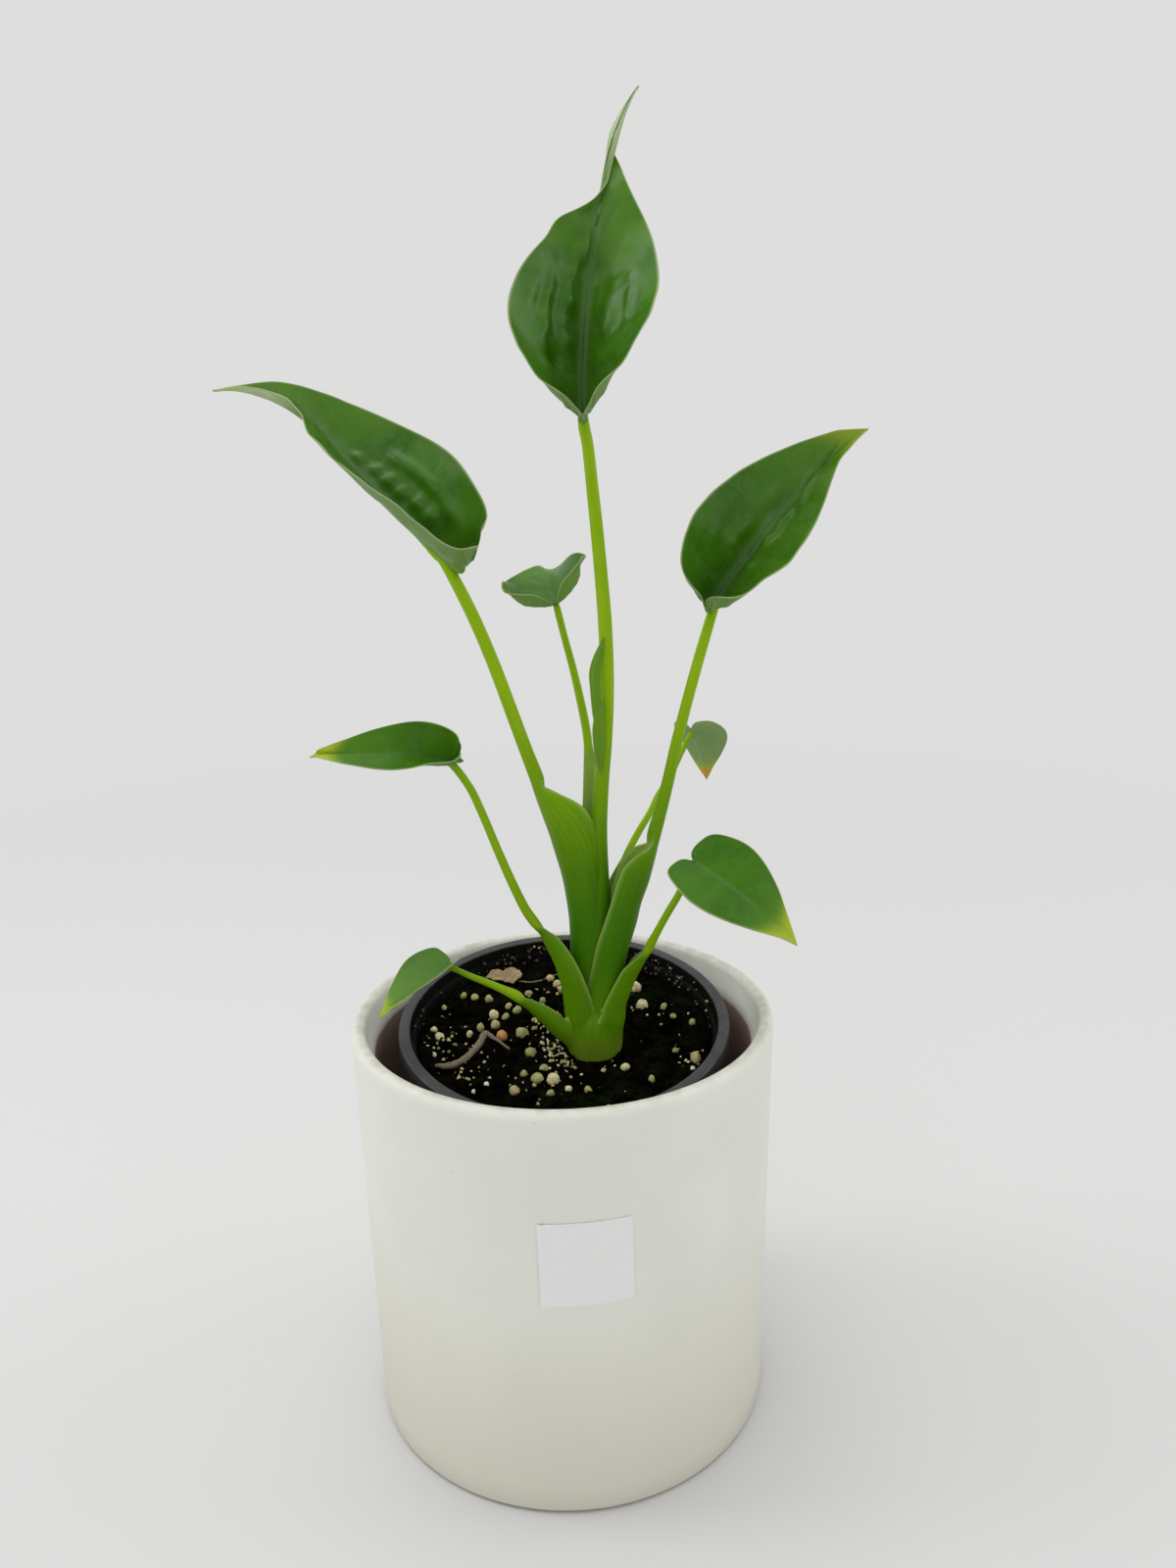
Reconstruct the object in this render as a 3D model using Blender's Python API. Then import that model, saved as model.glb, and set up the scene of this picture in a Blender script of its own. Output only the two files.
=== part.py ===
"""Potted alocasia: a rosette of eight cupped leaves in a nursery pot, standing in a cover pot.

Lengths in the tables are millimetres and angles are degrees. The row is built in metres with
+Z up, and its origin is the centre of the cover pot's flat underside. -Y is the side with the
label.
"""

import math

import bmesh
import bpy
import numpy as np
from mathutils import Matrix, Vector

MM = 0.001

# Cover pot: radius and height of the turned profile, from the middle of the underside outwards,
# up the outside, over the rounded lip and down the inside.
COVER_R_RIM = 63.5
FLOOR_Z = 6.0
CORNER_R = 21.5                 # rounded corner between the inner wall and the floor
WALL_R_IN = 56.6
COVER_OUTER = (
    (0.0, 0.0), (59.9, 0.0), (60.8, 0.35), (61.3, 1.3), (61.45, 8.0), (62.4, 65.0),
    (63.45, 122.5), (63.5, 124.6), (63.15, 126.0), (62.35, 126.8), (61.4, 127.0),
    (60.4, 126.75), (59.6, 126.0), (59.25, 124.6), (58.9, 122.8), (57.1, 118.3), (56.6, 105.0),
)
POT_SEGMENTS = 56

# Nursery pot, in its own upright frame with its underside at height 0.
NURSERY_H = 113.0
NURSERY_TILT = 8.0              # it leans: the back of its rim is higher than the front
NURSERY_RIM_CENTRE = (0.4, 0.9, 123.4)
NURSERY_PROFILE = (
    (0.0, 1.2), (30.0, 1.2), (31.0, 0.0), (36.0, 0.0), (37.0, 0.9), (46.6, 106.3), (49.9, 106.3),
    (50.4, 106.8), (50.4, 112.4), (49.8, 113.0), (47.5, 113.0), (46.9, 112.4), (46.4, 109.3),
    (45.5, 108.7), (44.9, 104.0), (35.8, 3.4), (34.6, 2.4), (0.0, 2.4),
)
DRAIN_HOLES = 4
DRAIN_RING_R = 22.0
DRAIN_R = 4.0

# Soil, in the nursery pot's frame.
SOIL_TOP = 105.6
SOIL_BOTTOM = 2.7
SOIL_RINGS = (8.0, 15.0, 22.0, 29.0, 35.0, 40.0)
SOIL_SEGMENTS = 36
SOIL_ROUGH = 0.35

# Crown: the short stem that all leafstalks grow from. It stands in a plain hole in the soil.
CROWN_XY = (9.5, -1.5)
CROWN_PROFILE = (
    (0.0, 100.6), (3.5, 100.8), (6.5, 102.4), (8.4, 106.0), (8.9, 111.0), (9.0, 117.0),
    (8.8, 121.0), (7.9, 125.0), (6.0, 128.5), (3.0, 130.5), (0.0, 131.0),
)
HOLE_R = 9.3
HOLE_BOTTOM = 100.3

# Prills and stones on the soil: place in the soil's plane (right, back) and radius.
PRILLS = (
    (-13.1, 1.7, 1.3), (-10.4, -9.0, 2.0), (-18.8, 0.5, 1.9), (-21.5, 7.0, 1.7),
    (-21.0, 13.2, 1.6), (-24.2, 21.5, 1.6), (-28.8, 22.4, 1.4), (-17.6, 17.4, 1.3),
    (-6.8, 20.0, 1.2), (-11.4, 24.8, 1.3), (-4.4, 33.0, 1.5), (-2.0, 29.6, 1.5),
    (-6.4, 13.0, 1.2), (-9.4, 8.6, 1.1), (-25.6, 5.6, 1.4), (-29.4, 2.2, 1.2),
    (-32.6, 24.4, 1.2), (-6.4, -16.6, 1.4), (-8.4, -22.0, 1.9), (-3.8, -22.6, 2.0),
    (-12.4, -18.6, 1.2), (-4.6, -28.6, 1.2), (-15.0, -26.6, 1.7), (6.2, -27.8, 1.2),
    (0.6, -26.6, 1.1), (24.0, 25.6, 2.6), (25.0, 14.9, 2.1), (32.0, 14.2, 1.3),
    (34.4, 8.4, 1.1), (40.0, 5.0, 1.2), (38.8, -14.2, 2.2), (37.4, -19.0, 1.5),
    (33.2, -9.8, 1.1), (24.9, -23.8, 1.2), (-40.6, 5.2, 1.3), (-38.6, 1.6, 1.4),
    (-39.6, -7.4, 1.2), (-23.2, -23.0, 1.1), (-26.6, -26.4, 1.1), (-38.4, 17.6, 1.1),
    (17.6, -17.4, 1.3), (11.2, -18.8, 1.1), (-0.8, 26.0, 1.3), (-15.6, 9.0, 1.3),
)

# Label: a blank square of paper on the front of the cover pot.
LABEL_W = 25.6
LABEL_H = 26.0
LABEL_Z = 81.5
LABEL_TURN = 4.0                # to the right of the middle
LABEL_LEAN = -1.2
LABEL_T = 0.3
LABEL_OFF = 0.15

# Dry twig and dry scrap of leaf on the soil: places in the soil's plane, height above it.
TWIG = (
    (-38.6, -14.4, 1.4, 0.7), (-34.0, -14.4, 1.7, 1.0), (-29.2, -10.8, 2.0, 1.1),
    (-26.0, -5.4, 2.3, 1.2), (-24.4, -1.6, 2.9, 1.0), (-21.4, -3.2, 2.5, 0.7),
    (-16.8, -7.8, 1.9, 0.5),
)
SCRAP = ((-26.0, 34.4), (-22.4, 37.2), (-17.6, 38.0), (-14.2, 35.6), (-14.0, 31.8), (-18.2, 29.8),
         (-22.8, 31.4))
SCRAP_LIFT = 0.9
SCRAP_T = 0.7

# Leafstalks. Each starts with the heading that the back of its sheath faces (0 is +X, 90 is +Y).
# Its cross-sections follow, from the crown upwards.
# A round section is (x, y, z, radius). A sheath section is
# (x, y, z, radius of the wrap, thickness at the back, thickness at the margins, half angle):
# a crescent that wraps round the stalks inside it, with its back wall at x, y, z.
STALK_A = (
    0.0,
    (10.6, -0.6, 116.0, 5.2), (10.9, 0.0, 140.0, 5.0), (11.2, 0.1, 158.0, 4.2),
    (11.6, 0.6, 172.0, 3.2), (12.2, 1.2, 184.0, 2.5), (13.3, 2.0, 197.0, 2.2),
    (14.6, 2.6, 210.0, 2.1), (15.5, 3.5, 225.0, 2.0), (15.1, 4.5, 241.8, 1.95),
    (14.2, 5.0, 255.6, 1.8), (13.2, 5.5, 269.0, 1.7), (12.3, 5.9, 280.5, 1.6),
    (11.4, 6.0, 291.5, 1.5),
)
STALK_B = (
    180.0,
    (4.4, -1.0, 116.0, 6.6, 2.4, 1.2, 165.0), (4.4, -0.5, 130.0, 6.6, 2.4, 1.2, 165.0),
    (4.4, 0.0, 145.0, 6.6, 2.4, 1.1, 160.0), (4.3, 0.0, 154.5, 6.4, 2.4, 1.0, 155.0),
    (3.4, 0.0, 163.3, 6.4, 2.5, 1.0, 150.0), (2.3, 0.0, 170.0, 6.7, 2.6, 0.9, 148.0),
    (0.8, 0.0, 176.2, 7.1, 2.8, 0.9, 146.0), (-0.7, -0.2, 182.3, 7.0, 3.0, 0.9, 140.0),
    (-2.5, -0.5, 188.3, 6.6, 3.2, 0.9, 125.0), (-4.0, -0.8, 193.3, 5.2, 3.4, 1.0, 102.0),
    (-4.9, -1.1, 196.6, 3.4, 3.6, 1.4, 78.0),
    (-5.4, -1.5, 199.6, 1.9), (-8.2, -2.0, 208.3, 1.8), (-12.0, -3.0, 220.0, 1.75),
    (-16.1, -3.5, 232.7, 1.65), (-20.2, -4.0, 243.9, 1.55), (-24.2, -4.0, 253.2, 1.45),
)
STALK_C = (
    0.0,
    (15.6, -2.0, 116.0, 6.2, 2.4, 1.2, 165.0), (16.6, -2.2, 128.0, 6.0, 2.4, 1.2, 160.0),
    (17.9, -2.6, 141.4, 5.4, 2.5, 1.1, 150.0), (19.2, -2.8, 147.5, 5.3, 2.5, 1.0, 150.0),
    (21.5, -3.0, 155.4, 5.3, 2.6, 1.0, 145.0), (22.9, -3.0, 161.5, 5.2, 2.7, 1.0, 140.0),
    (25.0, -3.0, 167.6, 5.4, 2.8, 0.9, 138.0), (26.2, -3.0, 172.1, 5.3, 2.9, 0.9, 130.0),
    (27.1, -3.0, 176.0, 4.6, 3.1, 0.9, 112.0), (27.6, -3.0, 178.8, 3.2, 3.4, 1.3, 80.0),
    (28.4, -3.0, 182.4, 1.95), (30.7, -2.5, 189.7, 1.75), (32.8, -2.0, 198.3, 1.6),
    (35.7, -1.0, 209.6, 1.45), (38.7, 0.0, 220.7, 1.35), (41.6, 1.0, 230.4, 1.32),
    (44.2, 1.8, 239.0, 1.3),
)
STALK_D = (
    90.0,
    (9.6, 5.5, 116.0, 6.2, 2.4, 1.2, 140.0), (9.8, 5.8, 135.0, 6.0, 2.4, 1.2, 130.0),
    (10.0, 6.4, 150.0, 5.6, 2.4, 1.1, 115.0), (10.4, 7.2, 165.0, 4.5, 2.2, 1.0, 100.0),
    (10.6, 8.4, 178.0, 3.0, 2.2, 1.0, 85.0), (10.7, 9.8, 190.0, 1.45),
    (10.5, 11.8, 200.0, 1.3), (9.6, 14.5, 210.0, 1.2), (8.0, 17.5, 220.7, 1.15),
    (5.9, 19.5, 229.0, 1.1), (3.5, 21.0, 237.1, 1.0), (1.8, 21.8, 244.0, 0.9),
)
STALK_E = (
    200.0,
    (3.3, -4.2, 114.0, 6.0, 2.0, 1.2, 135.0), (2.0, -4.8, 124.0, 5.6, 2.0, 1.1, 124.0),
    (1.2, -4.6, 134.0, 5.0, 2.0, 1.0, 108.0), (-0.8, -4.6, 142.6, 4.6, 2.0, 0.9, 98.0),
    (-3.9, -4.4, 150.0, 3.9, 2.0, 0.9, 92.0), (-5.3, -4.4, 153.3, 2.8, 2.1, 1.1, 82.0),
    (-7.4, -4.4, 156.6, 1.3), (-11.0, -4.6, 161.6, 1.2), (-15.2, -5.0, 170.4, 1.05),
    (-18.8, -5.5, 179.7, 0.98), (-21.8, -6.0, 187.9, 0.92), (-24.5, -6.0, 196.1, 0.86),
    (-27.3, -6.0, 201.1, 0.84), (-29.0, -6.0, 203.6, 0.8),
)
STALK_F = (
    60.0,
    (12.6, 4.0, 116.0, 5.8, 2.2, 1.2, 130.0), (14.0, 5.2, 138.0, 5.2, 2.2, 1.1, 120.0),
    (16.0, 6.8, 152.0, 4.2, 2.0, 1.0, 100.0), (18.2, 8.2, 163.0, 2.9, 1.9, 1.0, 85.0),
    (20.9, 9.9, 171.5, 1.1), (24.9, 14.0, 177.3, 0.95), (28.9, 17.5, 182.8, 0.88),
    (31.6, 20.5, 187.2, 0.85), (35.6, 24.0, 192.4, 0.82), (40.0, 28.0, 199.6, 0.8),
)
STALK_G = (
    -20.0,
    (15.7, -4.5, 114.0, 6.0, 2.0, 1.2, 120.0), (17.5, -5.4, 124.0, 5.6, 2.0, 1.1, 100.0),
    (18.1, -5.6, 130.0, 5.1, 2.0, 1.0, 95.0), (20.9, -6.1, 137.8, 4.3, 2.0, 0.9, 95.0),
    (22.4, -6.4, 141.2, 3.9, 2.0, 0.9, 95.0), (24.0, -6.8, 144.4, 3.0, 2.0, 1.0, 90.0),
    (26.0, -8.0, 149.0, 1.1), (28.0, -9.6, 154.2, 0.95), (31.4, -11.4, 160.6, 0.85),
    (33.8, -12.6, 165.7, 0.8), (36.3, -13.4, 171.0, 0.8), (37.6, -13.9, 173.6, 0.75),
)
STALK_H = (
    215.0,
    (3.0, -4.0, 115.0, 5.0, 2.0, 1.2, 110.0), (-1.2, -5.0, 119.8, 4.2, 2.0, 1.0, 100.0),
    (-4.5, -5.2, 123.8, 3.5, 1.9, 0.9, 98.0), (-7.5, -5.2, 127.2, 2.9, 1.8, 0.9, 95.0),
    (-10.5, -4.8, 130.0, 2.2, 1.7, 0.9, 85.0), (-13.5, -4.0, 132.6, 1.1),
    (-17.6, -2.5, 134.4, 0.95), (-22.6, -1.0, 136.2, 0.85), (-27.6, 0.5, 137.9, 0.8),
    (-31.4, 1.5, 139.4, 0.75),
)
STALKS = {"a": STALK_A, "b": STALK_B, "c": STALK_C, "d": STALK_D, "e": STALK_E, "f": STALK_F,
          "g": STALK_G, "h": STALK_H}
SHEATH_BACK_DOWN = {"h": (-0.35, -0.45, -0.85)}     # this sheath lies down, open at the top
OUTER_POINTS = 9
INNER_POINTS = 7
STALK_END_GAP = 1.1             # from the blade's middle surface back to the end of the stalk

# Blades. foot: where the stalk meets the blade. heading and rise: direction of the midrib there
# (heading 0 is +X, 90 is +Y). roll: turn of the face about the midrib, positive towards the right
# side. bend: arching in the first and second half, positive upwards. sway: the same sideways.
# twist: over the first 60 per cent. tip_twist: amount, start and span as parts of the length.
# fold: rise of the halves at the foot, middle and tip. curl: extra cupping at the foot and from
# the middle on. lobe: length of the basal lobes as a part of the length, and their lift.
# widest, shoulder: places on the outline as parts of length and half width. waist: half width
# between the two.
# uneven: what is added on the right half and taken off on the left one.
BLADE_T = 0.6
BLADES = {
    "a": dict(foot=(10.3, 5.9, 298.9), heading=87, rise=62, roll=0, length=97.5, half_width=29.0,
              bend=(13, 33), sway=(-9, 6), twist=6, tip_twist=(146, 0.57, 0.19),
              fold=(42, 21, 29), curl=(15, 9), lobe=(0.13, 49), widest=0.18,
              shoulder=(0.69, 0.11), waist=0.66, uneven=(0.05, 0.02, 0.01, 3), rows=29, cols=5),
    "b": dict(foot=(-24.6, -4.0, 259.9), heading=165, rise=41, roll=-30, length=90.0,
              half_width=21.0, bend=(0, -55), sway=(-6, 13), twist=9, tip_twist=(19, 0.57, 0.31),
              fold=(40, 19, 41), curl=(18, 17), lobe=(0.14, 58), widest=0.21,
              shoulder=(0.78, 0.10), waist=0.68, uneven=(0.01, 0.0, 0.02, 7), rows=22, cols=5),
    "c": dict(foot=(44.7, 2.0, 246.7), heading=26, rise=51, roll=45, length=68.5,
              half_width=22.5, bend=(7, -21), sway=(-9, -13), twist=-3, tip_twist=(-8, 0.64, 0.28),
              fold=(40, 23, 31), curl=(19, 13), lobe=(0.14, 50), widest=0.23,
              shoulder=(0.81, 0.16), waist=0.66, uneven=(-0.03, 0.0, -0.01, -1), rows=22, cols=5),
    "d": dict(foot=(1.3, 22.0, 247.2), heading=102, rise=35, roll=-23, length=25.5,
              half_width=15.5, bend=(-23, -19), sway=(-5, -3), twist=0, tip_twist=(-7, 0.6, 0.3),
              fold=(28, 21, 33), curl=(15, 17), lobe=(0.17, 10), widest=0.19,
              shoulder=(0.85, 0.11), waist=0.63, uneven=(-0.02, -0.02, 0.0, 2), rows=15, cols=4),
    "e": dict(foot=(-29.2, -6.0, 206.6), heading=181, rise=11, roll=-38, length=42.5,
              half_width=10.0, bend=(-17, -16), sway=(-1, -7), twist=-4, tip_twist=(10, 0.55, 0.3),
              fold=(26, 8, 21), curl=(34, 8), lobe=(0.13, 45), widest=0.21,
              shoulder=(0.89, 0.13), waist=0.66, uneven=(0.0, 0.0, 0.0, 4), rows=15, cols=4),
    "f": dict(foot=(43.0, 30.0, 205.3), heading=36, rise=-51, roll=-11, length=18.0,
              half_width=10.5, bend=(-21, -11), sway=(4, 2), twist=0, tip_twist=(0, 0.6, 0.3),
              fold=(13, 13, 9), curl=(4, -2), lobe=(0.16, 20), widest=0.22,
              shoulder=(0.80, 0.24), waist=0.66, uneven=(-0.01, 0.0, -0.02, 1), rows=15, cols=4),
    "g": dict(foot=(38.7, -14.0, 176.7), heading=-36, rise=-20, roll=14, length=37.0,
              half_width=16.0, bend=(-12, -13), sway=(-2, 3), twist=1, tip_twist=(0, 0.6, 0.3),
              fold=(7, 2, 6), curl=(5, -4), lobe=(0.09, 10), widest=0.23,
              shoulder=(0.85, 0.22), waist=0.71, uneven=(-0.01, 0.01, -0.01, 0), rows=15, cols=4),
    "h": dict(foot=(-34.0, 2.0, 141.3), heading=228, rise=-9, roll=-3, length=28.5,
              half_width=9.5, bend=(-6, -6), sway=(-1, -3), twist=8, tip_twist=(3, 0.58, 0.3),
              fold=(29, 23, 23), curl=(0, 6), lobe=(0.08, 11), widest=0.27,
              shoulder=(0.87, 0.25), waist=0.69, uneven=(-0.01, -0.01, 0.02, -3), rows=15, cols=4),
}
SPINE_STEPS = 56
ROOT_START = 0.36               # ribs before this part of the outline all start at the foot

# New leaf, still rolled up: x, y, z and half width, and its depth as a part of the width.
NEW_LEAF = (
    (12.4, -0.6, 217.0, 0.5), (12.3, -0.2, 220.5, 1.1), (12.2, 0.4, 225.6, 1.3),
    (12.3, 0.9, 229.4, 1.35), (12.9, 1.2, 233.0, 1.15), (13.8, 1.4, 236.4, 0.7),
    (14.6, 1.5, 239.0, 0.25),
)
NEW_LEAF_DEPTH = 0.55
NEW_LEAF_POINTS = 8

COLOURS = {
    "glaze": ((0.83, 0.82, 0.79), 0.5), "pot_plastic": ((0.055, 0.057, 0.06), 0.5),
    "peat": ((0.012, 0.009, 0.007), 0.95), "stalk": ((0.28, 0.47, 0.02), 0.4),
    "leaf": ((0.045, 0.15, 0.02), 0.32), "young_leaf": ((0.3, 0.45, 0.06), 0.4),
    "paper": ((0.85, 0.85, 0.84), 0.6), "twig": ((0.19, 0.1, 0.045), 0.85),
    "dry_leaf": ((0.5, 0.37, 0.2), 0.8),
}


def clear_scene():
    for ob in list(bpy.data.objects):
        bpy.data.objects.remove(ob, do_unlink=True)


def make_material(name):
    colour, rough = COLOURS[name]
    mat = bpy.data.materials.new(name)
    mat.use_nodes = True
    shader = mat.node_tree.nodes["Principled BSDF"]
    shader.inputs["Base Color"].default_value = (colour[0], colour[1], colour[2], 1.0)
    shader.inputs["Roughness"].default_value = rough
    return mat


def make_object(name, verts, faces, material, place=None):
    """Object from points in millimetres, placed by the frame that is given in millimetres."""
    place = Matrix.Identity(4) if place is None else place.copy()
    back = place.inverted()
    mesh = bpy.data.meshes.new(name)
    mesh.from_pydata([(back @ Vector(v)) * MM for v in verts], [], faces)
    mesh.validate()
    turn_outwards(mesh)
    ob = bpy.data.objects.new(name, mesh)
    bpy.context.scene.collection.objects.link(ob)
    place.translation *= MM
    ob.matrix_world = place
    if material is not None:
        mesh.materials.append(material)
    return ob


def turn_outwards(mesh):
    bm = bmesh.new()
    bm.from_mesh(mesh)
    bmesh.ops.recalc_face_normals(bm, faces=bm.faces)
    if bm.calc_volume(signed=True) < 0.0:
        bmesh.ops.reverse_faces(bm, faces=bm.faces)
    bm.to_mesh(mesh)
    bm.free()


def shade(ob, angle=40.0):
    """Smooth shading, with the edges sharper than the angle kept sharp."""
    bm = bmesh.new()
    bm.from_mesh(ob.data)
    for face in bm.faces:
        face.smooth = True
    for edge in bm.edges:
        if len(edge.link_faces) == 2:
            edge.smooth = edge.calc_face_angle(0.0) < math.radians(angle)
    bm.to_mesh(ob.data)
    bm.free()


def boolean(ob, tool, operation):
    """Apply one Boolean and take the tool out of the scene."""
    mod = ob.modifiers.new("cut", "BOOLEAN")
    mod.operation = operation
    mod.solver = "EXACT"
    mod.object = tool
    deps = bpy.context.evaluated_depsgraph_get()
    mesh = bpy.data.meshes.new_from_object(ob.evaluated_get(deps))
    old = ob.data
    ob.modifiers.clear()
    ob.data = mesh
    bpy.data.meshes.remove(old)
    bpy.data.objects.remove(tool, do_unlink=True)


def one_body(ob):
    """Weld doubled points and keep only the largest closed shell."""
    bm = bmesh.new()
    bm.from_mesh(ob.data)
    bmesh.ops.remove_doubles(bm, verts=bm.verts, dist=0.000004)
    bmesh.ops.dissolve_degenerate(bm, edges=bm.edges, dist=0.000004)
    bm.verts.ensure_lookup_table()
    seen = set()
    shells = []
    for start in bm.verts:
        if start.index in seen:
            continue
        seen.add(start.index)
        group = [start]
        for vert in group:
            for edge in vert.link_edges:
                other = edge.other_vert(vert)
                if other.index not in seen:
                    seen.add(other.index)
                    group.append(other)
        shells.append(group)
    shells.sort(key=len)
    for group in shells[:-1]:
        bmesh.ops.delete(bm, geom=group, context="VERTS")
    bm.to_mesh(ob.data)
    bm.free()
    turn_outwards(ob.data)


def revolve(profile, segments, place=None):
    """Closed solid of revolution. The profile starts and ends on the axis."""
    verts = []
    rings = []
    for radius, height in profile:
        if radius < 1e-6:
            rings.append([len(verts)])
            verts.append(Vector((0.0, 0.0, height)))
            continue
        rings.append(list(range(len(verts), len(verts) + segments)))
        for k in range(segments):
            turn = 2.0 * math.pi * k / segments
            verts.append(Vector((radius * math.cos(turn), radius * math.sin(turn), height)))
    faces = []
    for low, high in zip(rings, rings[1:]):
        for k in range(segments):
            nxt = (k + 1) % segments
            if len(low) == 1:
                faces.append((low[0], high[nxt], high[k]))
            elif len(high) == 1:
                faces.append((low[k], low[nxt], high[0]))
            else:
                faces.append((low[k], low[nxt], high[nxt], high[k]))
    if place is not None:
        verts = [place @ v for v in verts]
    return verts, faces


def cylinder(radius, low, high, segments, place=None):
    profile = ((0.0, low), (radius, low), (radius, high), (0.0, high))
    return revolve(profile, segments, place)


def nursery_frame():
    """Places a point of the nursery pot's own frame in the row's frame."""
    lean = Matrix.Rotation(math.radians(NURSERY_TILT), 4, "X")
    up = lean @ Vector((0.0, 0.0, 1.0))
    base = Vector(NURSERY_RIM_CENTRE) - up * NURSERY_H
    return Matrix.Translation(base) @ lean


def cover_profile():
    profile = list(COVER_OUTER)
    middle_r = WALL_R_IN - CORNER_R
    middle_z = FLOOR_Z + CORNER_R
    for k in range(7):
        turn = math.radians(90.0 * k / 6)
        profile.append((middle_r + CORNER_R * math.cos(turn), middle_z - CORNER_R * math.sin(turn)))
    profile.append((0.0, FLOOR_Z))
    return profile


def cover_radius(height):
    """Outer radius of the cover pot at a height."""
    for (r0, z0), (r1, z1) in zip(COVER_OUTER[3:8], COVER_OUTER[4:8]):
        if height <= z1:
            return r0 + (r1 - r0) * (height - z0) / (z1 - z0)
    return COVER_R_RIM


def build_cover_pot(materials):
    verts, faces = revolve(cover_profile(), POT_SEGMENTS)
    ob = make_object("cover_pot", verts, faces, materials["glaze"])
    shade(ob)


def build_nursery_pot(materials, frame):
    verts, faces = revolve(NURSERY_PROFILE, POT_SEGMENTS, frame)
    ob = make_object("nursery_pot", verts, faces, materials["pot_plastic"], frame)
    for k in range(DRAIN_HOLES):
        turn = 2.0 * math.pi * (k + 0.5) / DRAIN_HOLES
        spot = Vector((DRAIN_RING_R * math.cos(turn), DRAIN_RING_R * math.sin(turn), 0.0))
        verts, faces = cylinder(DRAIN_R, -2.0, 5.0, 16, frame @ Matrix.Translation(spot))
        boolean(ob, make_object("cut_drain", verts, faces, None), "DIFFERENCE")
    one_body(ob)
    shade(ob)


def soil_wave(x, y):
    """Unevenness of the soil, between -1 and 1."""
    return (0.45 * math.sin(0.21 * x + 0.6) * math.cos(0.17 * y - 0.4)
            + 0.3 * math.sin(0.43 * x - 0.31 * y + 1.7)
            + 0.25 * math.sin(0.37 * y + 0.29 * x - 0.8))


def soil_solid(frame):
    """Filled pot shape whose top follows the uneven soil."""
    wall = [(34.4, SOIL_BOTTOM), (35.4, SOIL_BOTTOM + 1.0), (44.5, 104.2)]
    verts = [Vector((0.0, 0.0, SOIL_BOTTOM))]
    rings = [[0]]
    for radius, height in wall:
        rings.append(list(range(len(verts), len(verts) + SOIL_SEGMENTS)))
        for k in range(SOIL_SEGMENTS):
            turn = 2.0 * math.pi * k / SOIL_SEGMENTS
            verts.append(Vector((radius * math.cos(turn), radius * math.sin(turn), height)))
    for radius in (43.6,) + tuple(reversed(SOIL_RINGS)) + (0.0,):
        count = SOIL_SEGMENTS if radius > 0.0 else 1
        rings.append(list(range(len(verts), len(verts) + count)))
        for k in range(count):
            turn = 2.0 * math.pi * k / SOIL_SEGMENTS
            x = radius * math.cos(turn)
            y = radius * math.sin(turn)
            verts.append(Vector((x, y, SOIL_TOP + SOIL_ROUGH * soil_wave(x, y))))
    faces = []
    for low, high in zip(rings, rings[1:]):
        for k in range(SOIL_SEGMENTS):
            nxt = (k + 1) % SOIL_SEGMENTS
            if len(low) == 1:
                faces.append((low[0], high[nxt], high[k]))
            elif len(high) == 1:
                faces.append((low[k], low[nxt], high[0]))
            else:
                faces.append((low[k], low[nxt], high[nxt], high[k]))
    return [frame @ v for v in verts], faces


def build_soil(materials, frame):
    verts, faces = soil_solid(frame)
    ob = make_object("soil", verts, faces, materials["peat"], frame)
    place = Matrix.Translation((CROWN_XY[0], CROWN_XY[1], 0.0))
    verts, faces = cylinder(HOLE_R, HOLE_BOTTOM, 150.0, 28, place)
    boolean(ob, make_object("cut_crown", verts, faces, None), "DIFFERENCE")
    rng = np.random.default_rng(11)
    for x, y, radius in PRILLS:
        height = SOIL_TOP + SOIL_ROUGH * soil_wave(x, y) + 0.3 * radius
        turn = Matrix.Rotation(rng.uniform(0.0, 3.0), 4, Vector(rng.uniform(-1.0, 1.0, 3)))
        spot = frame @ Matrix.Translation((x, y, height)) @ turn
        bm = bmesh.new()
        bmesh.ops.create_icosphere(bm, subdivisions=2 if radius > 1.8 else 1, radius=radius)
        verts = [spot @ (v.co * rng.uniform(0.88, 1.08)) for v in bm.verts]
        faces = [[v.index for v in f.verts] for f in bm.faces]
        bm.free()
        boolean(ob, make_object("prill", verts, faces, None), "UNION")
    one_body(ob)
    shade(ob, 35.0)


def section_loop(section, back, along):
    """Points of one leafstalk section, in the same order for round and sheath sections."""
    middle = Vector(section[:3])
    out = (back - along * back.dot(along)).normalized()
    side = along.cross(out)
    points = []
    if len(section) == 4:
        radius = section[3]
        for k in range(OUTER_POINTS + INNER_POINTS):
            turn = math.pi * (-0.5 + k / (OUTER_POINTS - 1))
            points.append(middle + (out * math.cos(turn) + side * math.sin(turn)) * radius)
        return points
    radius, thick, margin, half = section[3:]
    axis = middle - out * (radius - 0.5 * thick)
    half = math.radians(half)
    for k in range(OUTER_POINTS):
        turn = half * (-1.0 + 2.0 * k / (OUTER_POINTS - 1))
        points.append(axis + (out * math.cos(turn) + side * math.sin(turn)) * radius)
    for k in range(INNER_POINTS):
        part = 0.9 * (1.0 - 2.0 * k / (INNER_POINTS - 1))
        wall = margin + (thick - margin) * (0.5 + 0.5 * math.cos(math.pi * part))
        turn = half * part
        points.append(axis + (out * math.cos(turn) + side * math.sin(turn)) * (radius - wall))
    return points


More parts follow.
